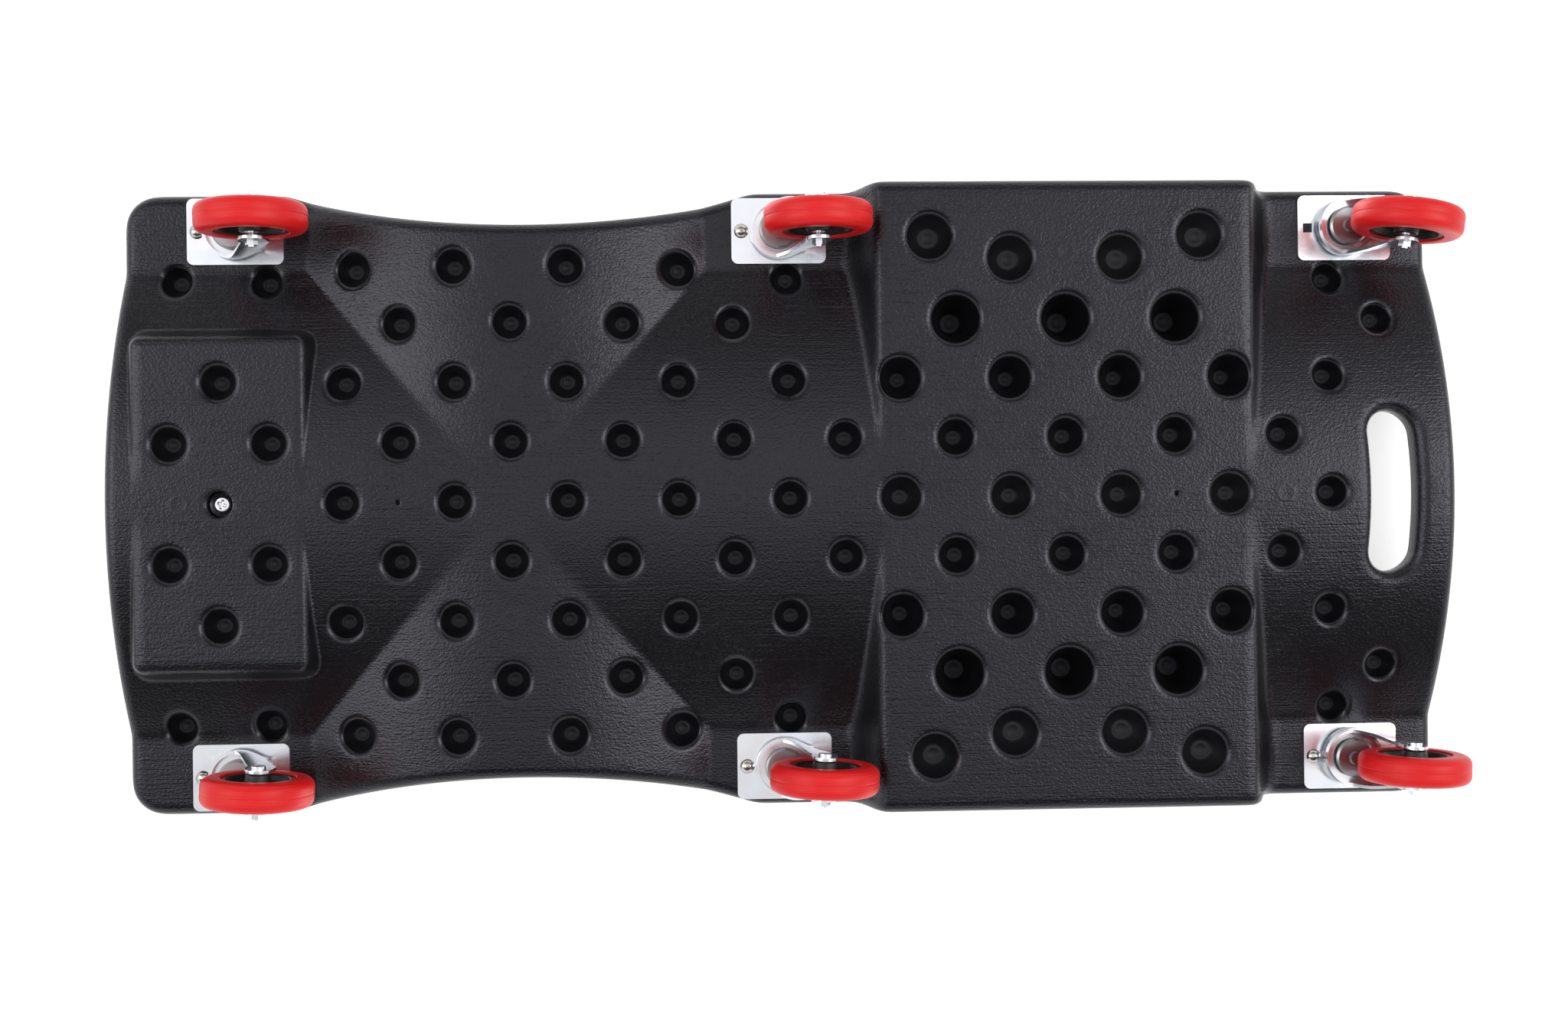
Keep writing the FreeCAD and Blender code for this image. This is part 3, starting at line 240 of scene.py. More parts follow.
def smoothed(loop, rounds):
    """Closed loop after repeated averaging of each point with its neighbours (1, 2, 1)."""
    for _ in range(rounds):
        loop = (np.roll(loop, 1, 0) + 2 * loop + np.roll(loop, -1, 0)) / 4
    return loop


def outward(loop):
    """Unit normals of a closed clockwise loop: the tangent turned to the left."""
    along = np.roll(loop, -1, 0) - np.roll(loop, 1, 0)
    along /= np.linalg.norm(along, axis=1)[:, None]
    return np.c_[-along[:, 1], along[:, 0]]


def outline(step=3.4):
    """Deck in plan, clockwise from the head end: bowed ends, round corners, a waist, wider at the trays.

    Halfway out an end has fallen back by a quarter of its bow, as on a parabola.
    """
    slant = CORNER * (1 - math.sqrt(0.5))
    inner = SIDE - CORNER
    start, stop = (CORNER - HEAD, SIDE), (FOOT - CORNER, SIDE)
    sides = [WAIST[-1], *TRAY_SIDE, stop]
    left = [
        arc((-END, 0), ((END - HEAD) / 4 - END, BOW_HALF / 2), (-HEAD, BOW_HALF), step),
        line((-HEAD, BOW_HALF), (-HEAD, inner), step),
        arc((-HEAD, inner), (slant - HEAD, SIDE - slant), start, step),
        line(start, WAIST[0], step),
        arc(*WAIST, step),
        *[line(first, last, step) for first, last in zip(sides, sides[1:])],
        arc(stop, (FOOT - slant, SIDE - slant), (FOOT, inner), step),
        line((FOOT, inner), (FOOT, BOW_HALF), step),
        arc((FOOT, BOW_HALF), (END - (END - FOOT) / 4, BOW_HALF / 2), (END, 0), step),
    ]
    left = np.vstack(left)
    right = left[:0:-1] * (1, -1)
    return smoothed(np.vstack([left, [(END, 0)], right]), 4)


def round_box(middle, half, corner, step=4.0):
    """Rectangle with round corners, clockwise, as a closed loop."""
    hx, hy = half[0] - corner, half[1] - corner
    corner_step = 2.5
    count = max(5, int(corner * math.pi / 2 / corner_step))
    quarters = []
    for number, (way_x, way_y) in enumerate(((-1, 1), (1, 1), (1, -1), (-1, -1))):
        turn = math.pi - number * math.pi / 2 - np.linspace(0, math.pi / 2, count)
        centre = (middle[0] + way_x * hx, middle[1] + way_y * hy)
        quarters.append(centre + corner * np.c_[np.cos(turn), np.sin(turn)])
    full = []
    for index, piece in enumerate(quarters):
        full += [piece, line(piece[-1], quarters[(index + 1) % 4][0], step)[1:]]
    return np.vstack(full)


def circle(x, y, radius, count):
    """Clockwise circle."""
    turn = -math.tau * np.arange(count) / count
    return np.c_[x + radius * np.cos(turn), y + radius * np.sin(turn)]


def recesses():
    """Every recess as x, y, mouth diameter and floor height, mirrored about the centre line."""
    found = []

    def add(x, y, mouth, top):
        """Notes a recess and its mirror image."""
        for way in (1, -1) if y else (1,):
            found.append((x, way * y, mouth, top - SKIN))

    for number, last in enumerate(ROW_ENDS):
        y = number * ROW
        for step in range(ROW_START, last + 1):
            x = (step + 0.5 * (number % 2)) * PITCH
            mouth = BLOCK_ROW_MOUTHS[number] if abs(x - BLOCK_X) < BLOCK_HALF else ROW_MOUTH
            add(x, y, mouth, float(upper(x, y)))
    for x, y, mouth in PAD_RECESSES + WAIST_RECESSES + FOOT_RECESSES:
        add(x, y, mouth, float(upper(x, y)))
    for offset, y, mouth in TRAY_RECESSES:
        top = TRAY_FLOOR if y > TRAY_Y - TRAY_HALF[1] else float(upper(BLOCK_X, y))
        for x in sorted({BLOCK_X - offset, BLOCK_X + offset}):
            add(x, y, mouth, top)
    for offset, y, mouth in HEAD_RECESSES:
        for x in sorted({HEAD_X - offset, HEAD_X + offset}):
            add(x, y, mouth, SPINE + THICK)
    return found


# Meshes


class Skin:
    """Gathers grids and triangles of one surface before they are joined into a mesh."""

    def __init__(self):
        self.points = []
        self.faces = []
        self.grain = []
        self.count = 0

    def add(self, points, faces, grain=1.0):
        """Adds points and the faces over them, and how much of the grain they carry."""
        self.points.append(points)
        self.faces.append(faces + self.count)
        self.grain.append(np.broadcast_to(grain, len(points)))
        self.count += len(points)

    def grid(self, rows, grain=1.0):
        """Adds a grid given as an array of rows of points, each row closed on itself."""
        down, across = rows.shape[:2]
        number = np.arange(down * across).reshape(down, across)
        beside = np.roll(number, -1, 1)
        quads = np.stack([number[:-1], beside[:-1], beside[1:], number[1:]], -1).reshape(-1, 4)
        self.add(rows.reshape(-1, 3), quads, grain)

    def cap(self, ring, middle, grain=1.0):
        """Closes a ring of points with triangles to a middle point."""
        number = np.arange(len(ring))
        fan = np.stack([number, np.roll(number, -1), np.full(len(ring), len(ring))], -1)
        self.add(np.vstack([ring, [middle]]), fan, grain)

    def mesh(self, name, merge=0.002):
        """Joins everything into one smooth mesh, merging points that coincide."""
        data = bpy.data.meshes.new(name)
        faces = [face for group in self.faces for face in group.tolist()]
        data.from_pydata((np.vstack(self.points) * MM).tolist(), [], faces)
        layer = data.attributes.new("grain", "FLOAT", "POINT")
        layer.data.foreach_set("value", np.concatenate(self.grain))
        work = bmesh.new()
        work.from_mesh(data)
        bmesh.ops.remove_doubles(work, verts=work.verts, dist=merge * MM)
        bmesh.ops.recalc_face_normals(work, faces=work.faces)
        work.to_mesh(data)
        work.free()
        shade_smooth(data)
        return data


def shade_smooth(data):
    """Shades every face of a mesh as part of a curved surface."""
    data.polygons.foreach_set("use_smooth", np.ones(len(data.polygons), bool))


def read(items, key):
    """Points or normals of all vertices, as an array with a row for each."""
    values = np.empty(3 * len(items))
    items.foreach_get(key, values)
    return values.reshape(-1, 3)


def read_numbers(items, key):
    """A whole number of each loop or face, as an array."""
    values = np.empty(len(items), int)
    items.foreach_get(key, values)
    return values


def link(name, data):
    """Puts a mesh, a lamp or a camera into the scene at the origin."""
    made = bpy.data.objects.new(name, data)
    bpy.context.scene.collection.objects.link(made)
    return made


def lift(flat, height):
    """Plan points with heights, as points in space."""
    return np.c_[flat, np.broadcast_to(height, len(flat))]


def out_of(points, loop):
    """Distance of points out of a closed loop, along the normal of the loop's nearest point."""
    gap = points[:, None, :] - loop[None, :, :]
    nearest = np.argmin((gap**2).sum(-1), 1)
    return (gap[np.arange(len(points)), nearest] * outward(loop)[nearest]).sum(-1)


def close_to(points, ring, margin):
    """Numbers of the points that lie within a margin of a ring's box."""
    middle = ring.mean(0)
    reach = np.abs(ring - middle).max(0) + margin
    return np.flatnonzero(np.all(np.abs(points - middle) < reach, 1))


def free_points(step, loop, rings, lines, margin):
    """Points of a grid clear of some lines, and of the lines, inside a loop and outside its holes."""
    xs = np.arange(-END, END, step)
    ys = np.arange(-WIDE, WIDE + step, step)
    grid = np.stack(np.meshgrid(xs, ys), -1).reshape(-1, 2)
    for points, clear in lines:
        free = np.ones(len(grid), bool)
        for part in np.array_split(np.arange(len(grid)), CHUNKS):
            gap = np.abs(grid[part, None, :] - points[None, :, :])
            free[part] = ~np.any((gap[..., 0] < clear) & (gap[..., 1] < clear), 1)
        grid = grid[free]
    grid = np.vstack([grid] + [points for points, clear in lines])
    grid = np.vstack([part[out_of(part, loop) < -margin] for part in np.array_split(grid, CHUNKS)])
    for ring in rings:
        index = close_to(grid, ring, margin)
        grid = np.delete(grid, index[out_of(grid[index], ring) < margin], 0)
    return grid


def sheet(skin, loop, rings, points, height):
    """A surface over the plan between a loop and its holes, as triangles at the heights of a function."""
    flat = np.vstack([loop] + rings + [points])
    edges, start = [], 0
    for ring in [loop] + rings:
        number = np.arange(len(ring)) + start
        edges += np.stack([number, np.roll(number, -1)], -1).tolist()
        start += len(ring)
    made = delaunay_2d_cdt(flat.tolist(), edges, [], 1, 1e-4)
    faces = np.array(made[2])
    middle = flat[faces].mean(1)
    keep = np.ones(len(faces), bool)
    for ring in rings:
        index = close_to(middle, ring, 0.0)
        keep[index[out_of(middle[index], ring) < 0]] = False
    skin.add(lift(flat, height(*flat.T)), faces[keep])


def four_ways(middle, along, out):
    """Points at distances along the deck from a middle and out from the centre line, in four quarters."""
    return [np.c_[middle + end * along, way * out] for end in (-1, 1) for way in (-1, 1)]


def crease_lines():
    """Points along the creases between flank and waist, in lines beside each other.

    A crease is where the valley's parabola reaches the height of the flank.
    """
    rise = trough(CREASE_OUT) - SPINE - FACET_SLOPE * (CREASE_OUT - FACET_ROOT)
    along = np.sqrt(np.maximum(0.0, rise) / VALLEY_BEND)
    lines = []
    for shift in CREASE_LINES:
        lines += four_ways(VALLEY_X, along + shift, CREASE_OUT)
    return np.vstack(lines)


def block_lines():
    """Points along the walls of the two blocks, in lines beside each other."""
    tray, head = [], []
    for shift in TRAY_LINES:
        tray += four_ways(BLOCK_X, np.full(len(WALL_OUT), BLOCK_HALF + shift), WALL_OUT)
    for shift in HEAD_LINES:
        half = (HEAD_HALF[0] + shift, HEAD_HALF[1] + shift)
        head.append(round_box((HEAD_X, 0), half, HEAD_CORNER + shift))
    return np.vstack(tray), np.vstack(head)


def sunk(x, y, radius, depth, count):
    """A ring at a depth from the underside, which it follows."""
    ring = circle(x, y, radius, count)
    return lift(ring, underside(*ring.T) + depth)


def recess_rows(x, y, mouth, floor, count):
    """A recess as rings: a rounded rim, a tapered wall and a floor with a low raised ring.

    The rim is an arc that follows the surface, the wall runs straight to the level floor.
    """
    tip = SMALL_FLOOR if mouth < LARGE_MOUTH else LARGE_FLOOR
    turn = np.linspace(0, 1, 7) * RIM_TURN
    radius = mouth / 2 + RIM_BEND * RIM_OUTSIDE - RIM_BEND * np.sin(turn)
    drop = RIM_BEND * (1 - np.cos(turn))
    rows = [sunk(x, y, r, d, count) for r, d in zip(radius, drop)]
    lower = rows[-1][:, 2]
    for share in WALL_SHARES:
        ring = circle(x, y, radius[-1] + (tip + FLOOR_ROUND - radius[-1]) * share, count)
        rows.append(lift(ring, lower + (floor - 1.0 - lower) * share))
    foot = [(tip, 0.25), (tip - FLOOR_ROUND, 0.0)]
    raised = [(tip * share, rise) for share, rise in FLOOR_RING]
    rows += [lift(circle(x, y, r, count), floor - rise) for r, rise in foot + raised]
    return np.stack(rows)


def strip(loop, normal, profile):
    """A loop carried along a profile of (offset along the normal, height) pairs."""
    rows = [lift(loop + normal * np.reshape(offset, (-1, 1)), height) for offset, height in profile]
    return np.stack(rows)


def quarter(count):
    """Pairs of sine and cosine over a quarter turn."""
    turn = np.linspace(0, math.pi / 2, count)
    return list(zip(np.sin(turn), np.cos(turn)))


def side_profile(low, foot, high, top, way, count, draft=0.0):
    """Profile up a side: a quarter circle out of the underside, a wall, a quarter circle into the top."""
    profile = [(way * (draft + foot * (1 - s)), low + foot * (1 - c)) for s, c in quarter(count)]
    return profile + [(way * top * (1 - c), high - top * (1 - s)) for s, c in quarter(count)]


def deck_edge(skin, edge):
    """Rounded edge of the deck, drafted where it is deep. Returns where the underside and the top begin."""
    loop = outline()
    normal = outward(loop)
    top = loop - normal * TOP_EDGE
    inner = loop - normal * edge
    high = upper(*top.T)
    draft = SIDE_DRAFT * np.maximum(0, high - underside(*inner.T) - THICK)
    base = loop - normal * (edge + draft)[:, None]
    profile = side_profile(underside(*base.T), edge, high, TOP_EDGE, -1, 8, draft)
    skin.grid(strip(loop, normal, profile))
    return base, top


def slot_edge(skin, rim):
    """Carry slot: a long round hole bent to a parabola, rounded below and above. Returns both rims."""
    middle, wide, long = SLOT
    slot = round_box((middle, 0), (wide / 2, long / 2), wide / 2 - 0.01, 3.0)
    slot[:, 0] -= SLOT_BOW * (2 * slot[:, 1] / (long - wide)) ** 2
    normal = outward(slot)
    below, above = slot + normal * rim, slot + normal * SLOT_TOP
    profile = side_profile(underside(*below.T), rim, upper(*above.T), SLOT_TOP, 1, 6)
    skin.grid(strip(slot, normal, profile))
    return below, above


def recess_field(skin):
    """Recesses, vents, marks and the screw's recess in the underside. Returns the loops of their mouths."""
    mouths = []
    for x, y, mouth, floor in recesses():
        rows = recess_rows(x, y, mouth, floor, RECESS_SIDES)
        grain = np.interp(np.arange(len(rows)), *RECESS_GRAIN)
        skin.grid(rows, np.repeat(grain, RECESS_SIDES))
        skin.cap(rows[-1], (x, y, floor), 0.0)
        mouths.append(rows[0][:, :2])
    small = [(x, 0, VENT, 1.0) for x in VENTS] + [(x, y, MARK, 1.0) for x, y in MARKS]
    for x, y, section, floor_grain in small + [(HEAD_X, 0, SCREW_RECESS, 0.0)]:
        rows = np.stack([sunk(x, y, radius, depth, 32) for radius, depth in section])
        skin.grid(rows, 0.4)
        skin.cap(rows[-1], (x, y, rows[-1][:, 2].mean()), floor_grain)
        mouths.append(rows[0][:, :2])
    return mouths


def tray_profile(height, rim, floor):
    """Section of a tray: a quarter circle at the rim, a wall, a quarter circle at the foot."""
    profile = [(rim * (1 - s), height - rim * (1 - c)) for s, c in quarter(5)]
    return profile + [(-TRAY_FOOT * (1 - c), floor + TRAY_FOOT * (1 - s)) for s, c in quarter(5)]


def headrest_profile(height, rim, floor):
    """Section of the headrest pocket: a low bevel and an upright wall."""
    bevel = height - 0.4 * np.minimum(1, height - floor)
    return [(rim, height), (0.4 * rim, bevel), (0.0, (height + floor) / 2), (0.0, floor)]


def box_pockets(skin):
    """Two trays and the headrest pocket: a section carried round a box. Returns their outer loops."""
    rings = []
    tray = (TRAY_HALF, TRAY_CORNER, tray_profile, TRAY_RIM, TRAY_FLOOR)
    headrest = (POCKET_HALF, POCKET_CORNER, headrest_profile, POCKET_RIM, POCKET_FLOOR)
    places = [((BLOCK_X, TRAY_Y), tray), ((BLOCK_X, -TRAY_Y), tray), ((HEAD_X, 0.0), headrest)]
    for middle, (half, corner, profile, rim, floor) in places:
        loop = round_box(middle, half, corner)
        normal = outward(loop)
        height = upper(*(loop + normal * rim).T)
        rows = strip(loop, normal, profile(height, rim, floor))
        skin.grid(rows)
        centre = np.array([*middle, floor])
        halfway = centre + (rows[-1] - centre) * 0.5
        skin.grid(np.stack([rows[-1], halfway]))
        skin.cap(halfway, centre)
        rings.append(rows[0][:, :2])
    return rings


def nut_pockets(skin):
    """Round pockets over the caster bolts, turned from their section. Returns the loops of their mouths."""
    mouths = []
    for x, y, _ in CASTERS.values():
        for bolt in (x - BOLT_SPREAD, x + BOLT_SPREAD):
            rows = np.stack([lift(circle(bolt, y, radius, 28), RIM - depth) for radius, depth in NUT_POCKET])
            skin.grid(rows)
            skin.cap(rows[-1], (bolt, y, rows[-1][0, 2]))
            mouths.append(rows[0][:, :2])
    return mouths


def deck_mesh(edge, rim):
    """The whole moulded skin: edge, slot, recesses and underside, then the top with its pockets."""
    skin = Skin()
    base, top = deck_edge(skin, edge)
    slot_below, slot_above = slot_edge(skin, rim)
    creases = crease_lines()
    tray_walls, head_walls = block_lines()
    rings = [slot_below] + recess_field(skin)
    lines = [(creases, UNDER_CLEAR), (tray_walls, TRAY_CLEAR), (head_walls, UNDER_CLEAR)]
    sheet(skin, base, rings, free_points(UNDER_STEP, base, rings, lines, UNDER_MARGIN), underside)
    rings = [slot_above] + box_pockets(skin) + nut_pockets(skin)
    lines = [(creases, TOP_CLEAR)]
    sheet(skin, top, rings, free_points(TOP_STEP, top, rings, lines, TOP_MARGIN), upper)
    return skin.mesh("deck_skin")


# Wheels, screw and cushion


def bent(corners, radii, steps=5):
    """A line through corners, each rounded by a quadratic curve that starts its radius before the corner."""
    corners = np.array(corners, float)
    stretches = [corners[:1]]
    share = np.linspace(0, 1, steps)[:, None]
    for before, at, after, radius in zip(corners[:-2], corners[1:-1], corners[2:], radii):
        start = at + (before - at) * min(radius / np.linalg.norm(before - at), 0.5)
        stop = at + (after - at) * min(radius / np.linalg.norm(after - at), 0.5)
        stretches.append((1 - share) ** 2 * start + 2 * share * (1 - share) * at + share**2 * stop)
    stretches.append(corners[-1:])
    return np.vstack(stretches)


def tyre_profile():
    """Tyre from bore to bore, as radius and place along the axle: round shoulders and a fine mould line."""
    half, bore, shoulder, tread = 10.75, 26.5, 36.0, 7.0
    seam = WHEEL - 0.16
    near = [(bore, -8.0), (bore, -half), (shoulder, -half), (WHEEL, -tread), (WHEEL, -0.7), (seam, -0.3)]
    radii = [0.8, 3.0, 3.4, 0.2, 0.1]
    far = [(radius, -place) for radius, place in near[::-1]]
    return bent(near + far, radii + radii[::-1])


def hub_profile():
    """Hub from bore to bore: boss, dished web and rim on both faces, the boss longer on one."""
    bore, boss, web, dish, rim, outer = 5.0, 8.5, 10.2, 21.0, 22.6, 26.45
    radii = [1.0, 2.0, 2.0, 1.0, 0.4]
    near = [(bore, 10.2), (boss, 10.2), (web, 3.5), (dish, 3.5), (rim, 9.3), (outer, 9.3)]
    far = [(outer, -9.3), (rim, -9.3), (dish, -3.5), (web, -3.5), (boss, -12.8), (bore, -12.8)]
    return bent(near + far, radii + radii[::-1])


def spun(profile, count):
    """A profile of (radius, place) turned about an axis: rows of (radius cos, place, radius sin)."""
    turn = math.tau * np.arange(count) / count
    radius, place = profile[:, :1], np.repeat(profile[:, 1:], count, 1)
    return np.stack([radius * np.cos(turn), place, radius * np.sin(turn)], -1)


def wheel_mesh(name, profile, x, y, swing):
    """A wheel piece on its axle, which lies a trail behind the swivel axis and is turned by the swing.

    Its map runs with the cosine of half the angle round the tread and with the place along the axle.
    """
    rows = spun(profile, 128)
    c, s = math.cos(math.radians(swing)), math.sin(math.radians(swing))
    along, across, up = rows[..., 0] + TRAIL, rows[..., 1], rows[..., 2] + WHEEL
    skin = Skin()
    skin.grid(np.stack([x + along * c - across * s, y + along * s + across * c, up], -1))
    data = skin.mesh(name)
    layer = data.uv_layers.new(name="wheel")
    points = read(data.vertices, "co") / MM - (x, y, WHEEL)
    across = points[:, 1] * c - points[:, 0] * s
    along = points[:, 0] * c + points[:, 1] * s - TRAIL
    place = np.c_[np.cos(np.arctan2(points[:, 2], along) / 2) * WHEEL, across]
    layer.data.foreach_set("uv", place[read_numbers(data.loops, "vertex_index")].ravel())
    return data


def ramp(value, end, width):
    """Falls from 1 to 0 over a width that ends at the end."""
    return np.clip((end - value) / width, 0, 1)


def screw_mesh(name):
    """Screw: a flat dome with a cross sunk in it, over a plain shank with a point.

    The dome falls with the square root of 1 - (r / R)^12; each arm of the cross is a product of two ramps.
    """
    seat = SPINE + SCREW_DEPTH
    skin = Skin()
    radius = np.r_[np.linspace(0.15, 5.4, 26), 5.8, 6.0, 6.15, SCREW_HEAD][:, None]
    turn = math.tau * np.arange(96) / 96 + FIRST_TURN
    x, y = radius * np.cos(turn), radius * np.sin(turn)
    dome = seat - SCREW_RISE * np.maximum(0.0, 1 - (radius / DOME) ** 12) ** 0.5
    u, v = np.abs(x * CROSS_WAY[0] + y * CROSS_WAY[1]), np.abs(y * CROSS_WAY[0] - x * CROSS_WAY[1])
    arms = [ramp(a, *ARM_SIDE) * ramp(b, *ARM_TIP) for a, b in ((u, v), (v, u))]
    head = np.stack([HEAD_X + x, y, dome + CROSS_DEPTH * np.maximum(*arms)], -1)
    skin.grid(head)
    skin.cap(head[0], (HEAD_X, 0, head[0, :, 2].mean()))
    stem = [(SCREW_HEAD, 0.0), (SHANK, 0.0), (SHANK, SHANK_LENGTH), (0.3, SCREW_LENGTH)]
    rows = np.stack([lift(circle(HEAD_X, 0, r, 96), seat + rise) for r, rise in stem])
    skin.grid(rows)
    skin.cap(rows[-1], (HEAD_X, 0, seat + SCREW_LENGTH))
    return skin.mesh(name)


def swollen(name, solid):
    """The cushion's cover blown up over its foam: a cloth under pressure, held at its base.

    It starts a little inside the solid, moves no further than a limit and stays in the solid's box. Metres.
    """
    voxel, base_band, shrink, farthest, steps = 0.005, 0.003, 0.004, 0.012, 20
    work = link("cover_work", solid.data.copy())
    grid = work.modifiers.new("even", "REMESH")
    grid.mode = "VOXEL"
    grid.voxel_size = voxel
    even = bpy.data.meshes.new_from_object(work.evaluated_get(bpy.context.evaluated_depsgraph_get()))
    bpy.data.objects.remove(work)
    start, normal = read(even.vertices, "co"), read(even.vertices, "normal")
    low, high = (np.array(corner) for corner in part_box("headrest_cushion"))
    base = start[:, 2] < low[2] + base_band
    small = start - shrink * normal * (~base)[:, None]
    small[:, 2] = np.maximum(small[:, 2], low[2])
    even.vertices.foreach_set("co", small.ravel())
    even.update()
    ready = small
    cover = link("cover_cloth", even)
    held = cover.vertex_groups.new(name="held")
    held.add(np.flatnonzero(base).tolist(), 1.0, "REPLACE")
    cloth = cover.modifiers.new("cloth", "CLOTH")
    cloth.settings.use_pressure = True
    cloth.settings.uniform_pressure_force = 4.0
    cloth.settings.tension_stiffness = 25.0
    cloth.settings.compression_stiffness = 25.0
    cloth.settings.vertex_group_mass = "held"
    cloth.settings.effector_weights.gravity = 0.0
    cloth.point_cache.frame_end = steps
    scene = bpy.context.scene
    for step in range(1, steps + 1):
        scene.frame_set(step)
    shown = cover.evaluated_get(bpy.context.evaluated_depsgraph_get()).to_mesh()
    way = read(shown.vertices, "co") - small
    scene.frame_set(1)
    bpy.data.objects.remove(cover)
    far = np.linalg.norm(way, axis=1)[:, None]
    ready = small + way * np.minimum(1.0, farthest / np.maximum(far, 1e-9))
    ready = np.clip(ready, low, high)
    made = bpy.data.meshes.new(name)
    corners = read_numbers(even.loops, "vertex_index")
    starts = read_numbers(even.polygons, "loop_start")
    made.from_pydata(ready.tolist(), [], [face.tolist() for face in np.split(corners, starts[1:])])
    shade_smooth(made)
    bpy.data.meshes.remove(even)
    return made


def soften(target, width):
    """Rounds the edges of a solid a little and shades its curved faces evenly."""
    shade_smooth(target.data)
    target.data.set_sharp_from_angle(angle=math.radians(32))
    edge = target.modifiers.new("edge", "BEVEL")
    edge.width = width * MM
    edge.segments = 2
    edge.limit_method = "ANGLE"
    edge.angle_limit = math.radians(40)
    edge.harden_normals = True


# Materials


def new_material(name):
    """A node material with its principled shader."""
    made = bpy.data.materials.new(name)
    made.use_nodes = True
    return made, made.node_tree, made.node_tree.nodes["Principled BSDF"]


def feed(tree, target, inputs):
    """Fills a node's inputs: another node's output is linked, anything else is set as the value."""
    for key, value in inputs.items():
        if isinstance(value, bpy.types.NodeSocket):
            tree.links.new(value, target.inputs[key])
        else:
            target.inputs[key].default_value = value


def node(tree, kind, inputs=None, **properties):
    """Adds a node, sets its properties and fills its inputs."""
    made = tree.nodes.new(kind)
    for key, value in properties.items():
        setattr(made, key, value)
    feed(tree, made, inputs or {})
    return made


def calculated(tree, operation, first, second):
    """One step of arithmetic on two values."""
    return node(tree, "ShaderNodeMath", {0: first, 1: second}, operation=operation).outputs["Value"]


def ranged(tree, value, before, after, **properties):
    """A value carried from one range to another and held at the ends."""
    ends = {"From Min": before[0], "From Max": before[1], "To Min": after[0], "To Max": after[1]}
    return node(tree, "ShaderNodeMapRange", {"Value": value, **ends}, **properties).outputs["Result"]


def mixed(tree, share, first, second):
    """A colour between two, by a share."""
    inputs = {"Factor": share, "A": (*first, 1), "B": (*second, 1)}
    return node(tree, "ShaderNodeMix", inputs, data_type="RGBA").outputs["Result"]


def stretched_noise(tree, scale, detail, source="Object"):
    """Noise on object coordinates or the piece's map, stretched by a scale per axis."""
    place = node(tree, "ShaderNodeTexCoord").outputs[source]
    turn = node(tree, "ShaderNodeMapping", {"Vector": place, "Scale": scale}).outputs["Vector"]
    return node(tree, "ShaderNodeTexNoise", {"Vector": turn, "Scale": 1.0, "Detail": detail}).outputs["Fac"]


def bumped(tree, height, strength, distance):
    """A normal tilted by the slope of a height."""
    inputs = {"Height": height, "Strength": strength, "Distance": distance}
    return node(tree, "ShaderNodeBump", inputs).outputs["Normal"]


def deck_material(colour, rough):
    """Charcoal plastic: a leather grain, and flow lines along the deck that come and go by patches.

    The attribute grain is the strength of both. Where it falls to 0, down the recesses, the plastic is dull.
    """
    made, tree, shader = new_material("deck_plastic")
    mask = node(tree, "ShaderNodeAttribute", attribute_name="grain").outputs["Fac"]
    grain = stretched_noise(tree, (520, 620, 560), 2.0)
    flow = stretched_noise(tree, (22, 650, 300), 3.0)
    patch = ranged(tree, stretched_noise(tree, (9, 16, 16), 2.0), (0.35, 0.7), (0.15, 1.1))
    height = calculated(tree, "ADD", calculated(tree, "MULTIPLY", flow, patch), grain)
    finish = {
        "Base Color": (*colour, 1),
        "Roughness": ranged(tree, mask, (0.0, 0.25), (0.62, rough)),
        "Specular IOR Level": 0.46,
        "Specular Tint": (0.9, 0.89, 1.0, 1),
        "Normal": bumped(tree, height, mask, 0.0004),
    }
    feed(tree, shader, finish)
    return made


def zinc_material(name, colour, rough):
    """Bright zinc: uneven polish and a faint change of tint from blue to straw over a few centimetres."""
    made, tree, shader = new_material(name)
    cloud = stretched_noise(tree, (60, 60, 60), 3.0)
    red, green, blue = colour
    tint = mixed(tree, cloud, (red * 0.93, green * 0.97, blue * 1.03), (red * 1.05, green, blue * 0.95))
    polish = ranged(tree, cloud, (0.3, 0.7), (rough - 0.05, rough + 0.05))
    feed(tree, shader, {"Metallic": 1.0, "Base Color": tint, "Roughness": polish})
    return made


def tyre_material(colour):
    """Red polyurethane: satin, with pale scuffs drawn out round the tread."""
    made, tree, shader = new_material("tyre_red")
    scuff = ranged(tree, stretched_noise(tree, (0.12, 1.6, 1.0), 4.0, "UV"), (0.45, 0.85), (0.0, 0.16))
    tint = mixed(tree, scuff, colour, SCUFF)
    feed(tree, shader, {"Base Color": tint, "Roughness": 0.42, "Specular IOR Level": 0.3})
    return made


def hub_material():
    """Black nylon, even and satin."""
    made, tree, shader = new_material("hub_black")
    feed(tree, shader, {"Base Color": (*HUB_BLACK, 1), "Roughness": 0.42})
    return made


def vinyl_material(colour):
    """Black vinyl with a fine pebbled grain."""
    made, tree, shader = new_material("cushion_vinyl")
    normal = bumped(tree, stretched_noise(tree, (700, 700, 700), 2.0), 0.5, 0.0008)
    feed(tree, shader, {"Base Color": (*colour, 1), "Roughness": 0.45, "Normal": normal})
    return made


def board_material(colour):
    """Raw plywood: streaks along the board."""
    made, tree, shader = new_material("board_wood")
    streak = stretched_noise(tree, (240, 12, 700), 4.0)
    dark, pale = np.multiply(colour, (0.7, 0.66, 0.6)), np.multiply(colour, 1.15)
    feed(tree, shader, {"Base Color": mixed(tree, streak, dark, pale), "Roughness": 0.7})
    return made


def paint(target, material):
    """Gives an object one material."""
    target.data.materials.clear()
    target.data.materials.append(material)


# Stage


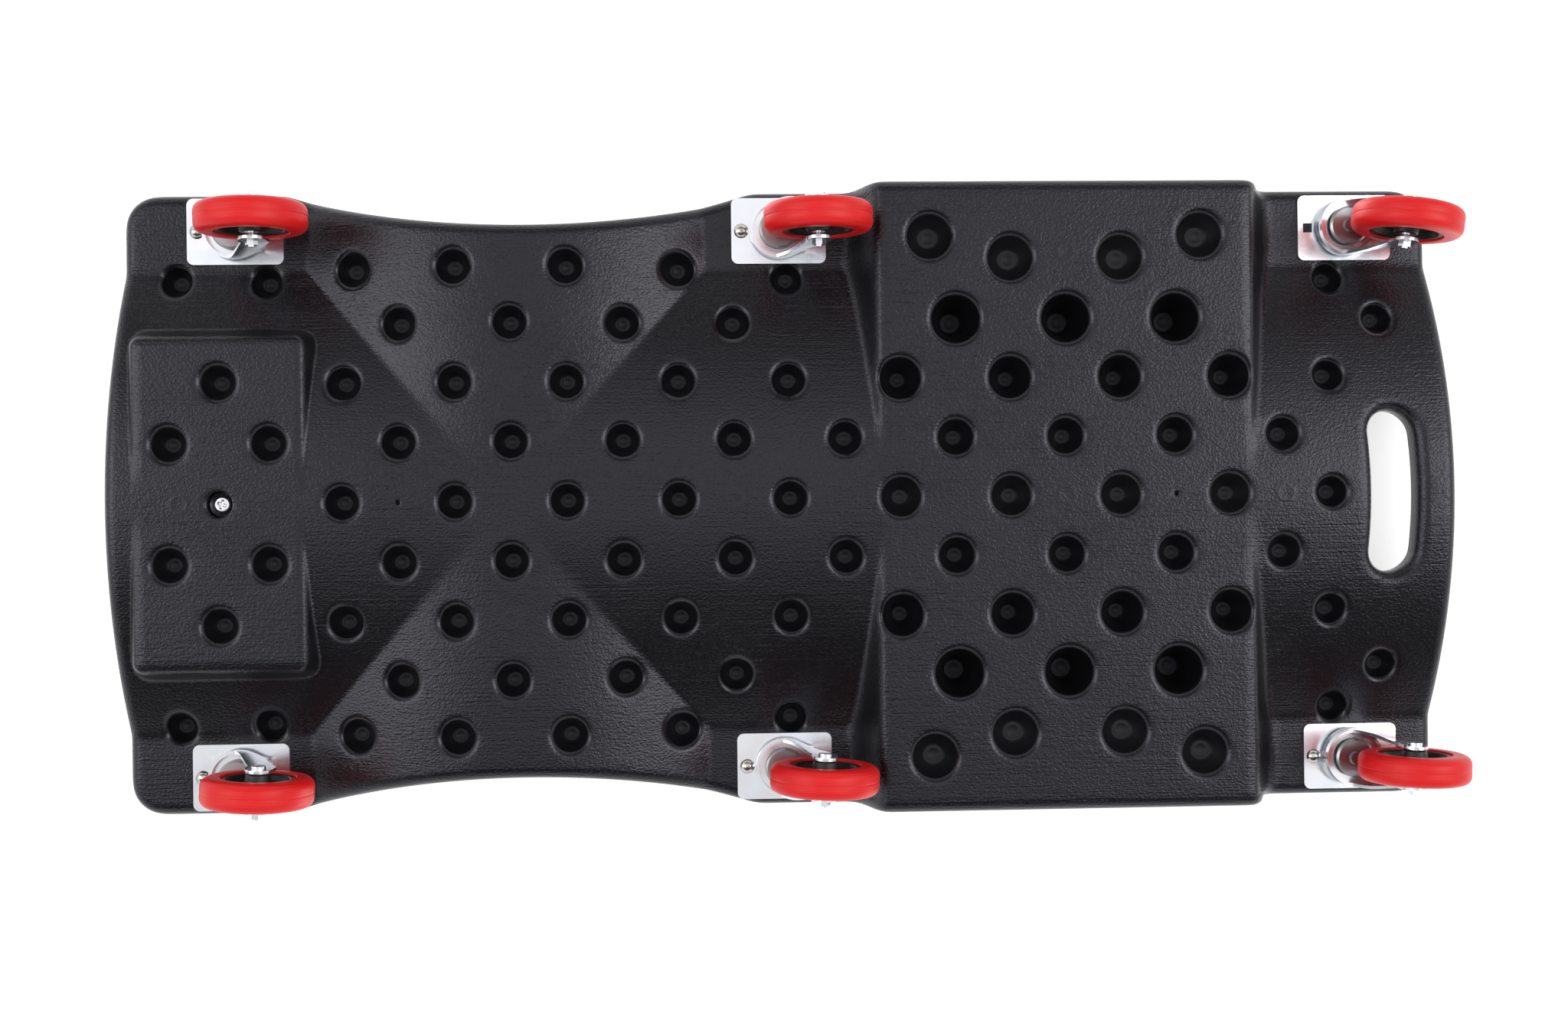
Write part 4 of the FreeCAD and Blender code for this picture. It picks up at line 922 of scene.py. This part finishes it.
def look(location, tilt, roll):
    """Camera matrix: image right, image up and the way back as columns."""
    t, a = math.radians(tilt), math.radians(roll)
    ahead = Vector((math.sin(t), 0, math.cos(t)))
    right = Vector((math.cos(t), 0, -math.sin(t)))
    down = Vector((0, 1, 0))
    right_rolled = right * math.cos(a) - down * math.sin(a)
    down_rolled = right * math.sin(a) + down * math.cos(a)
    made = Matrix((right_rolled, -down_rolled, -ahead)).transposed().to_4x4()
    made.translation = Vector(location)
    return made


def white_rays(tree):
    """1 for rays that look, mirror or pass straight at the surroundings, 0 for those that give light."""
    rays = node(tree, "ShaderNodeLightPath").outputs
    mirrored = calculated(tree, "MAXIMUM", rays["Is Camera Ray"], rays["Is Glossy Ray"])
    return calculated(tree, "MAXIMUM", mirrored, rays["Is Transmission Ray"])


def white_sheet(name, height, facing, shade):
    """A wide level sheet that only shows from one side, takes the object's shadow and glows a little."""
    half, glow_strength = 6.0, 0.55
    data = bpy.data.meshes.new(name)
    corners = [(x * half, y * half, height) for x, y in ((-1, -1), (1, -1), (1, 1), (-1, 1))]
    data.from_pydata(corners, [], [(0, 1, 2, 3) if facing > 0 else (3, 2, 1, 0)])
    made = link(name, data)
    made.visible_shadow = False
    material, tree, shader = new_material(name)
    matt = {"Base Color": (shade, shade, shade, 1), "Roughness": 1.0, "Specular IOR Level": 0.0}
    feed(tree, shader, matt)
    seen = calculated(tree, "MULTIPLY", white_rays(tree), glow_strength)
    glow = node(tree, "ShaderNodeEmission", {"Strength": seen})
    front = node(tree, "ShaderNodeAddShader", {0: shader.outputs["BSDF"], 1: glow.outputs["Emission"]})
    clear = node(tree, "ShaderNodeBsdfTransparent").outputs["BSDF"]
    back = node(tree, "ShaderNodeNewGeometry").outputs["Backfacing"]
    shown = node(tree, "ShaderNodeMixShader", {"Fac": back, 1: front.outputs["Shader"], 2: clear})
    feed(tree, tree.nodes["Material Output"], {"Surface": shown.outputs["Shader"]})
    paint(made, material)
    return made


def lamp(name, location, target, width, height, power):
    """A rectangular lamp that faces a point."""
    data = bpy.data.lights.new(name, "AREA")
    data.shape = "RECTANGLE"
    data.size = width
    data.size_y = height
    data.energy = power
    made = link(name, data)
    made.location = location
    made.rotation_euler = (Vector(target) - Vector(location)).to_track_quat("-Z", "Y").to_euler()
    return made


def world_light(strength):
    """Even light from all round, white where the camera or a mirror looks past the object.

    Under the object a mirrored view fades to the dim sides of the room with the length of (0.35 x, y + 0.15)
    of its direction. The fading ends where the view rises from steep to slanting.
    """
    world = bpy.data.worlds.new("studio")
    bpy.context.scene.world = world
    world.use_nodes = True
    tree = world.node_tree
    way = node(tree, "ShaderNodeTexCoord").outputs["Generated"]
    squeeze = {0: way, 1: (0.35, 1.0, 0.0), 2: (0.0, 0.15, 0.0)}
    flat = node(tree, "ShaderNodeVectorMath", squeeze, operation="MULTIPLY_ADD").outputs["Vector"]
    side = node(tree, "ShaderNodeVectorMath", {0: flat}, operation="LENGTH").outputs["Value"]
    height = node(tree, "ShaderNodeSeparateXYZ", {"Vector": way}).outputs["Z"]
    dim = ranged(tree, side, (0.15, 0.65), (0.0, 0.95), interpolation_type="SMOOTHSTEP")
    under = ranged(tree, height, (-0.62, -0.45), (1.0, 0.0), interpolation_type="SMOOTHSTEP")
    glossy = node(tree, "ShaderNodeLightPath").outputs["Is Glossy Ray"]
    shade = calculated(tree, "MULTIPLY", calculated(tree, "MULTIPLY", dim, under), glossy)
    seen = calculated(tree, "SUBTRACT", 1.0, shade)
    levels = {"Factor": white_rays(tree), "A": strength, "B": seen}
    level = node(tree, "ShaderNodeMix", levels, data_type="FLOAT").outputs["Result"]
    feed(tree, tree.nodes["Background"], {"Color": (1, 1, 1, 1), "Strength": level})


# Settings


class CreeperDeck(bpy.types.PropertyGroup):
    """Sizes and finish of the moulded deck."""

    edge: FloatProperty(name="Edge", description="Rounding of the deck's edge, mm", default=9.0, min=1.0)
    rim: FloatProperty(name="Slot rim", description="Rounding of the carry slot, mm", default=8.0, min=0.5)
    colour: FloatVectorProperty(
        name="Colour", description="Deck plastic", subtype="COLOR", default=(0.004, 0.004, 0.005)
    )
    rough: FloatProperty(
        name="Roughness", description="Deck plastic", subtype="FACTOR", default=0.26, min=0.0, max=1.0
    )


class CreeperCasters(bpy.types.PropertyGroup):
    """Finish of the casters."""

    edge: FloatProperty(name="Edge", description="Rounding of steel edges, mm", default=0.3, min=0.0)
    polish: FloatProperty(
        name="Polish", description="Roughness of the zinc", subtype="FACTOR", default=0.24, min=0.0, max=1.0
    )
    tyre: FloatVectorProperty(
        name="Tyre", description="Tyre colour", subtype="COLOR", default=(0.76, 0.008, 0.010)
    )


class CreeperStage(bpy.types.PropertyGroup):
    """Camera and light."""

    eye: FloatVectorProperty(
        name="Eye", description="Camera position", subtype="TRANSLATION", default=(-0.0564, 0.0067, -1.2166)
    )
    tilt: FloatProperty(name="Tilt", description="Lean of the view towards +X, degrees", default=2.3)
    roll: FloatProperty(name="Roll", description="Turn of the picture, degrees", default=-0.68)
    lens: FloatProperty(name="Lens", description="Focal length, mm", unit="CAMERA", default=39.533)
    ambient: FloatProperty(name="Ambient", description="Light from all round", default=0.6, min=0.0)


class CREEPER_OT_deck(bpy.types.Operator):
    """Builds the moulded deck."""

    bl_idname = "creeper.deck"
    bl_label = "Deck"

    def execute(self, context):
        """Replaces the plain deck solid by its rounded skin."""
        settings = context.scene.creeper_deck
        made = link("deck_skin", deck_mesh(settings.edge, settings.rim))
        paint(made, deck_material(settings.colour, settings.rough))
        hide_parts("deck")
        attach(made, "deck")
        return {"FINISHED"}


class CREEPER_OT_casters(bpy.types.Operator):
    """Finishes the casters."""

    bl_idname = "creeper.casters"
    bl_label = "Casters"

    def execute(self, context):
        """Gives the steel pieces their finish and builds the tyres and the hubs."""
        settings = context.scene.creeper_casters
        zinc = zinc_material("bright_zinc", ZINC, settings.polish)
        greasy = zinc_material("greased_zinc", GREASED_ZINC, settings.polish + GREASE_ROUGH)
        nickel = zinc_material("nickel_bolt", NICKEL, settings.polish + NICKEL_ROUGH)
        finishes = {"kingpin": greasy, "bolts": nickel}
        for name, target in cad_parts.items():
            kind = name.split("_")[-1]
            if kind in STEEL:
                soften(target, settings.edge)
                paint(target, finishes.get(kind, zinc))
        wheel_pieces = (
            ("tyre", tyre_profile(), tyre_material(settings.tyre), "red_tyre"),
            ("hub", hub_profile(), hub_material(), "hub_plastic"),
        )
        for name, (x, y, swing) in CASTERS.items():
            for kind, profile, material, finish in wheel_pieces:
                made = link(f"{name}_{kind}_form", wheel_mesh(f"{name}_{kind}", profile, x, y, swing))
                paint(made, material)
                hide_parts(f"{name}_{kind}")
                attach(made, f"{name}_wheel")
        return {"FINISHED"}


class CREEPER_OT_headrest(bpy.types.Operator):
    """Builds the headrest."""

    bl_idname = "creeper.headrest"
    bl_label = "Headrest"

    def execute(self, context):
        """Swells the cushion, paints its board and cuts the cross in the screw's head."""
        made = link("cushion_form", swollen("cushion_form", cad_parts["headrest_cushion"]))
        paint(made, vinyl_material(VINYL))
        finer = made.modifiers.new("finer", "SUBSURF")
        finer.levels = finer.render_levels = 1
        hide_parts("headrest_cushion")
        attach(made, "deck")
        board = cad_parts["headrest_board"]
        soften(board, BOARD_EDGE)
        paint(board, board_material(PLYWOOD))
        screw = link("screw_form", screw_mesh("screw_form"))
        paint(screw, zinc_material("screw_zinc", SCREW_ZINC, SCREW_ROUGH))
        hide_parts("headrest_screw")
        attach(screw, "deck")
        return {"FINISHED"}


class CREEPER_OT_stage(bpy.types.Operator):
    """Sets camera, lamps and white surroundings."""

    bl_idname = "creeper.stage"
    bl_label = "Stage"

    def execute(self, context):
        """Builds the studio round the creeper."""
        scene = context.scene
        settings = scene.creeper_stage
        scene.view_settings.view_transform = "Standard"
        data = bpy.data.cameras.new("camera")
        data.sensor_width = 36.0
        data.lens = settings.lens
        data.clip_start = 0.01
        scene.camera = link("camera", data)
        scene.camera.matrix_world = look(settings.eye, settings.tilt, settings.roll)
        world_light(settings.ambient)
        floor = white_sheet("floor", 0.0, 1, 0.8)
        floor.visible_glossy = False
        floor.visible_diffuse = False
        backdrop = white_sheet("backdrop", 0.13, -1, 0.8)
        middle = (0, 0, 0.06)
        lamp("under_panel", (-0.1, 0.0, -1.9), middle, 1.5, 1.0, 1)
        lamp("under_key", (-5.0, -0.4, -4.9), middle, 3.4, 4.6, 130)
        lamp("under_fill", (4.6, -0.4, -5.3), middle, 2.8, 4.4, 165)
        lamp("over_key", (-1.2, -1.4, 2.0), middle, 1.4, 1.4, 60)
        lamp("over_fill", (1.6, 1.2, 1.6), middle, 1.4, 1.4, 25)
        return {"FINISHED"}


class CREEPER_PT_panel(bpy.types.Panel):
    """Lists the building steps."""

    bl_idname = "CREEPER_PT_panel"
    bl_label = "Creeper"
    bl_space_type = "VIEW_3D"
    bl_region_type = "UI"
    bl_category = "Creeper"

    def draw(self, context):
        """Shows each step as a button and the settings under it."""
        for operator in OPERATORS:
            self.layout.operator(operator.bl_idname)
        scene = context.scene
        for group in (scene.creeper_deck, scene.creeper_casters, scene.creeper_stage):
            for key in group.bl_rna.properties.keys():
                if key not in ("rna_type", "name"):
                    self.layout.prop(group, key)


OPERATORS = [CREEPER_OT_deck, CREEPER_OT_casters, CREEPER_OT_headrest, CREEPER_OT_stage]
CLASSES = [CreeperDeck, CreeperCasters, CreeperStage, *OPERATORS, CREEPER_PT_panel]


def register():
    """Adds the classes and their settings."""
    for item in CLASSES:
        bpy.utils.register_class(item)
    bpy.types.Scene.creeper_deck = PointerProperty(type=CreeperDeck)
    bpy.types.Scene.creeper_casters = PointerProperty(type=CreeperCasters)
    bpy.types.Scene.creeper_stage = PointerProperty(type=CreeperStage)


def unregister():
    """Takes them away again."""
    del bpy.types.Scene.creeper_stage
    del bpy.types.Scene.creeper_casters
    del bpy.types.Scene.creeper_deck
    for item in reversed(CLASSES):
        bpy.utils.unregister_class(item)


def main():
    """Builds the whole scene."""
    register()
    bpy.ops.creeper.deck()
    bpy.ops.creeper.casters()
    bpy.ops.creeper.headrest()
    bpy.ops.creeper.stage()


if __name__ == "__main__":
    main()
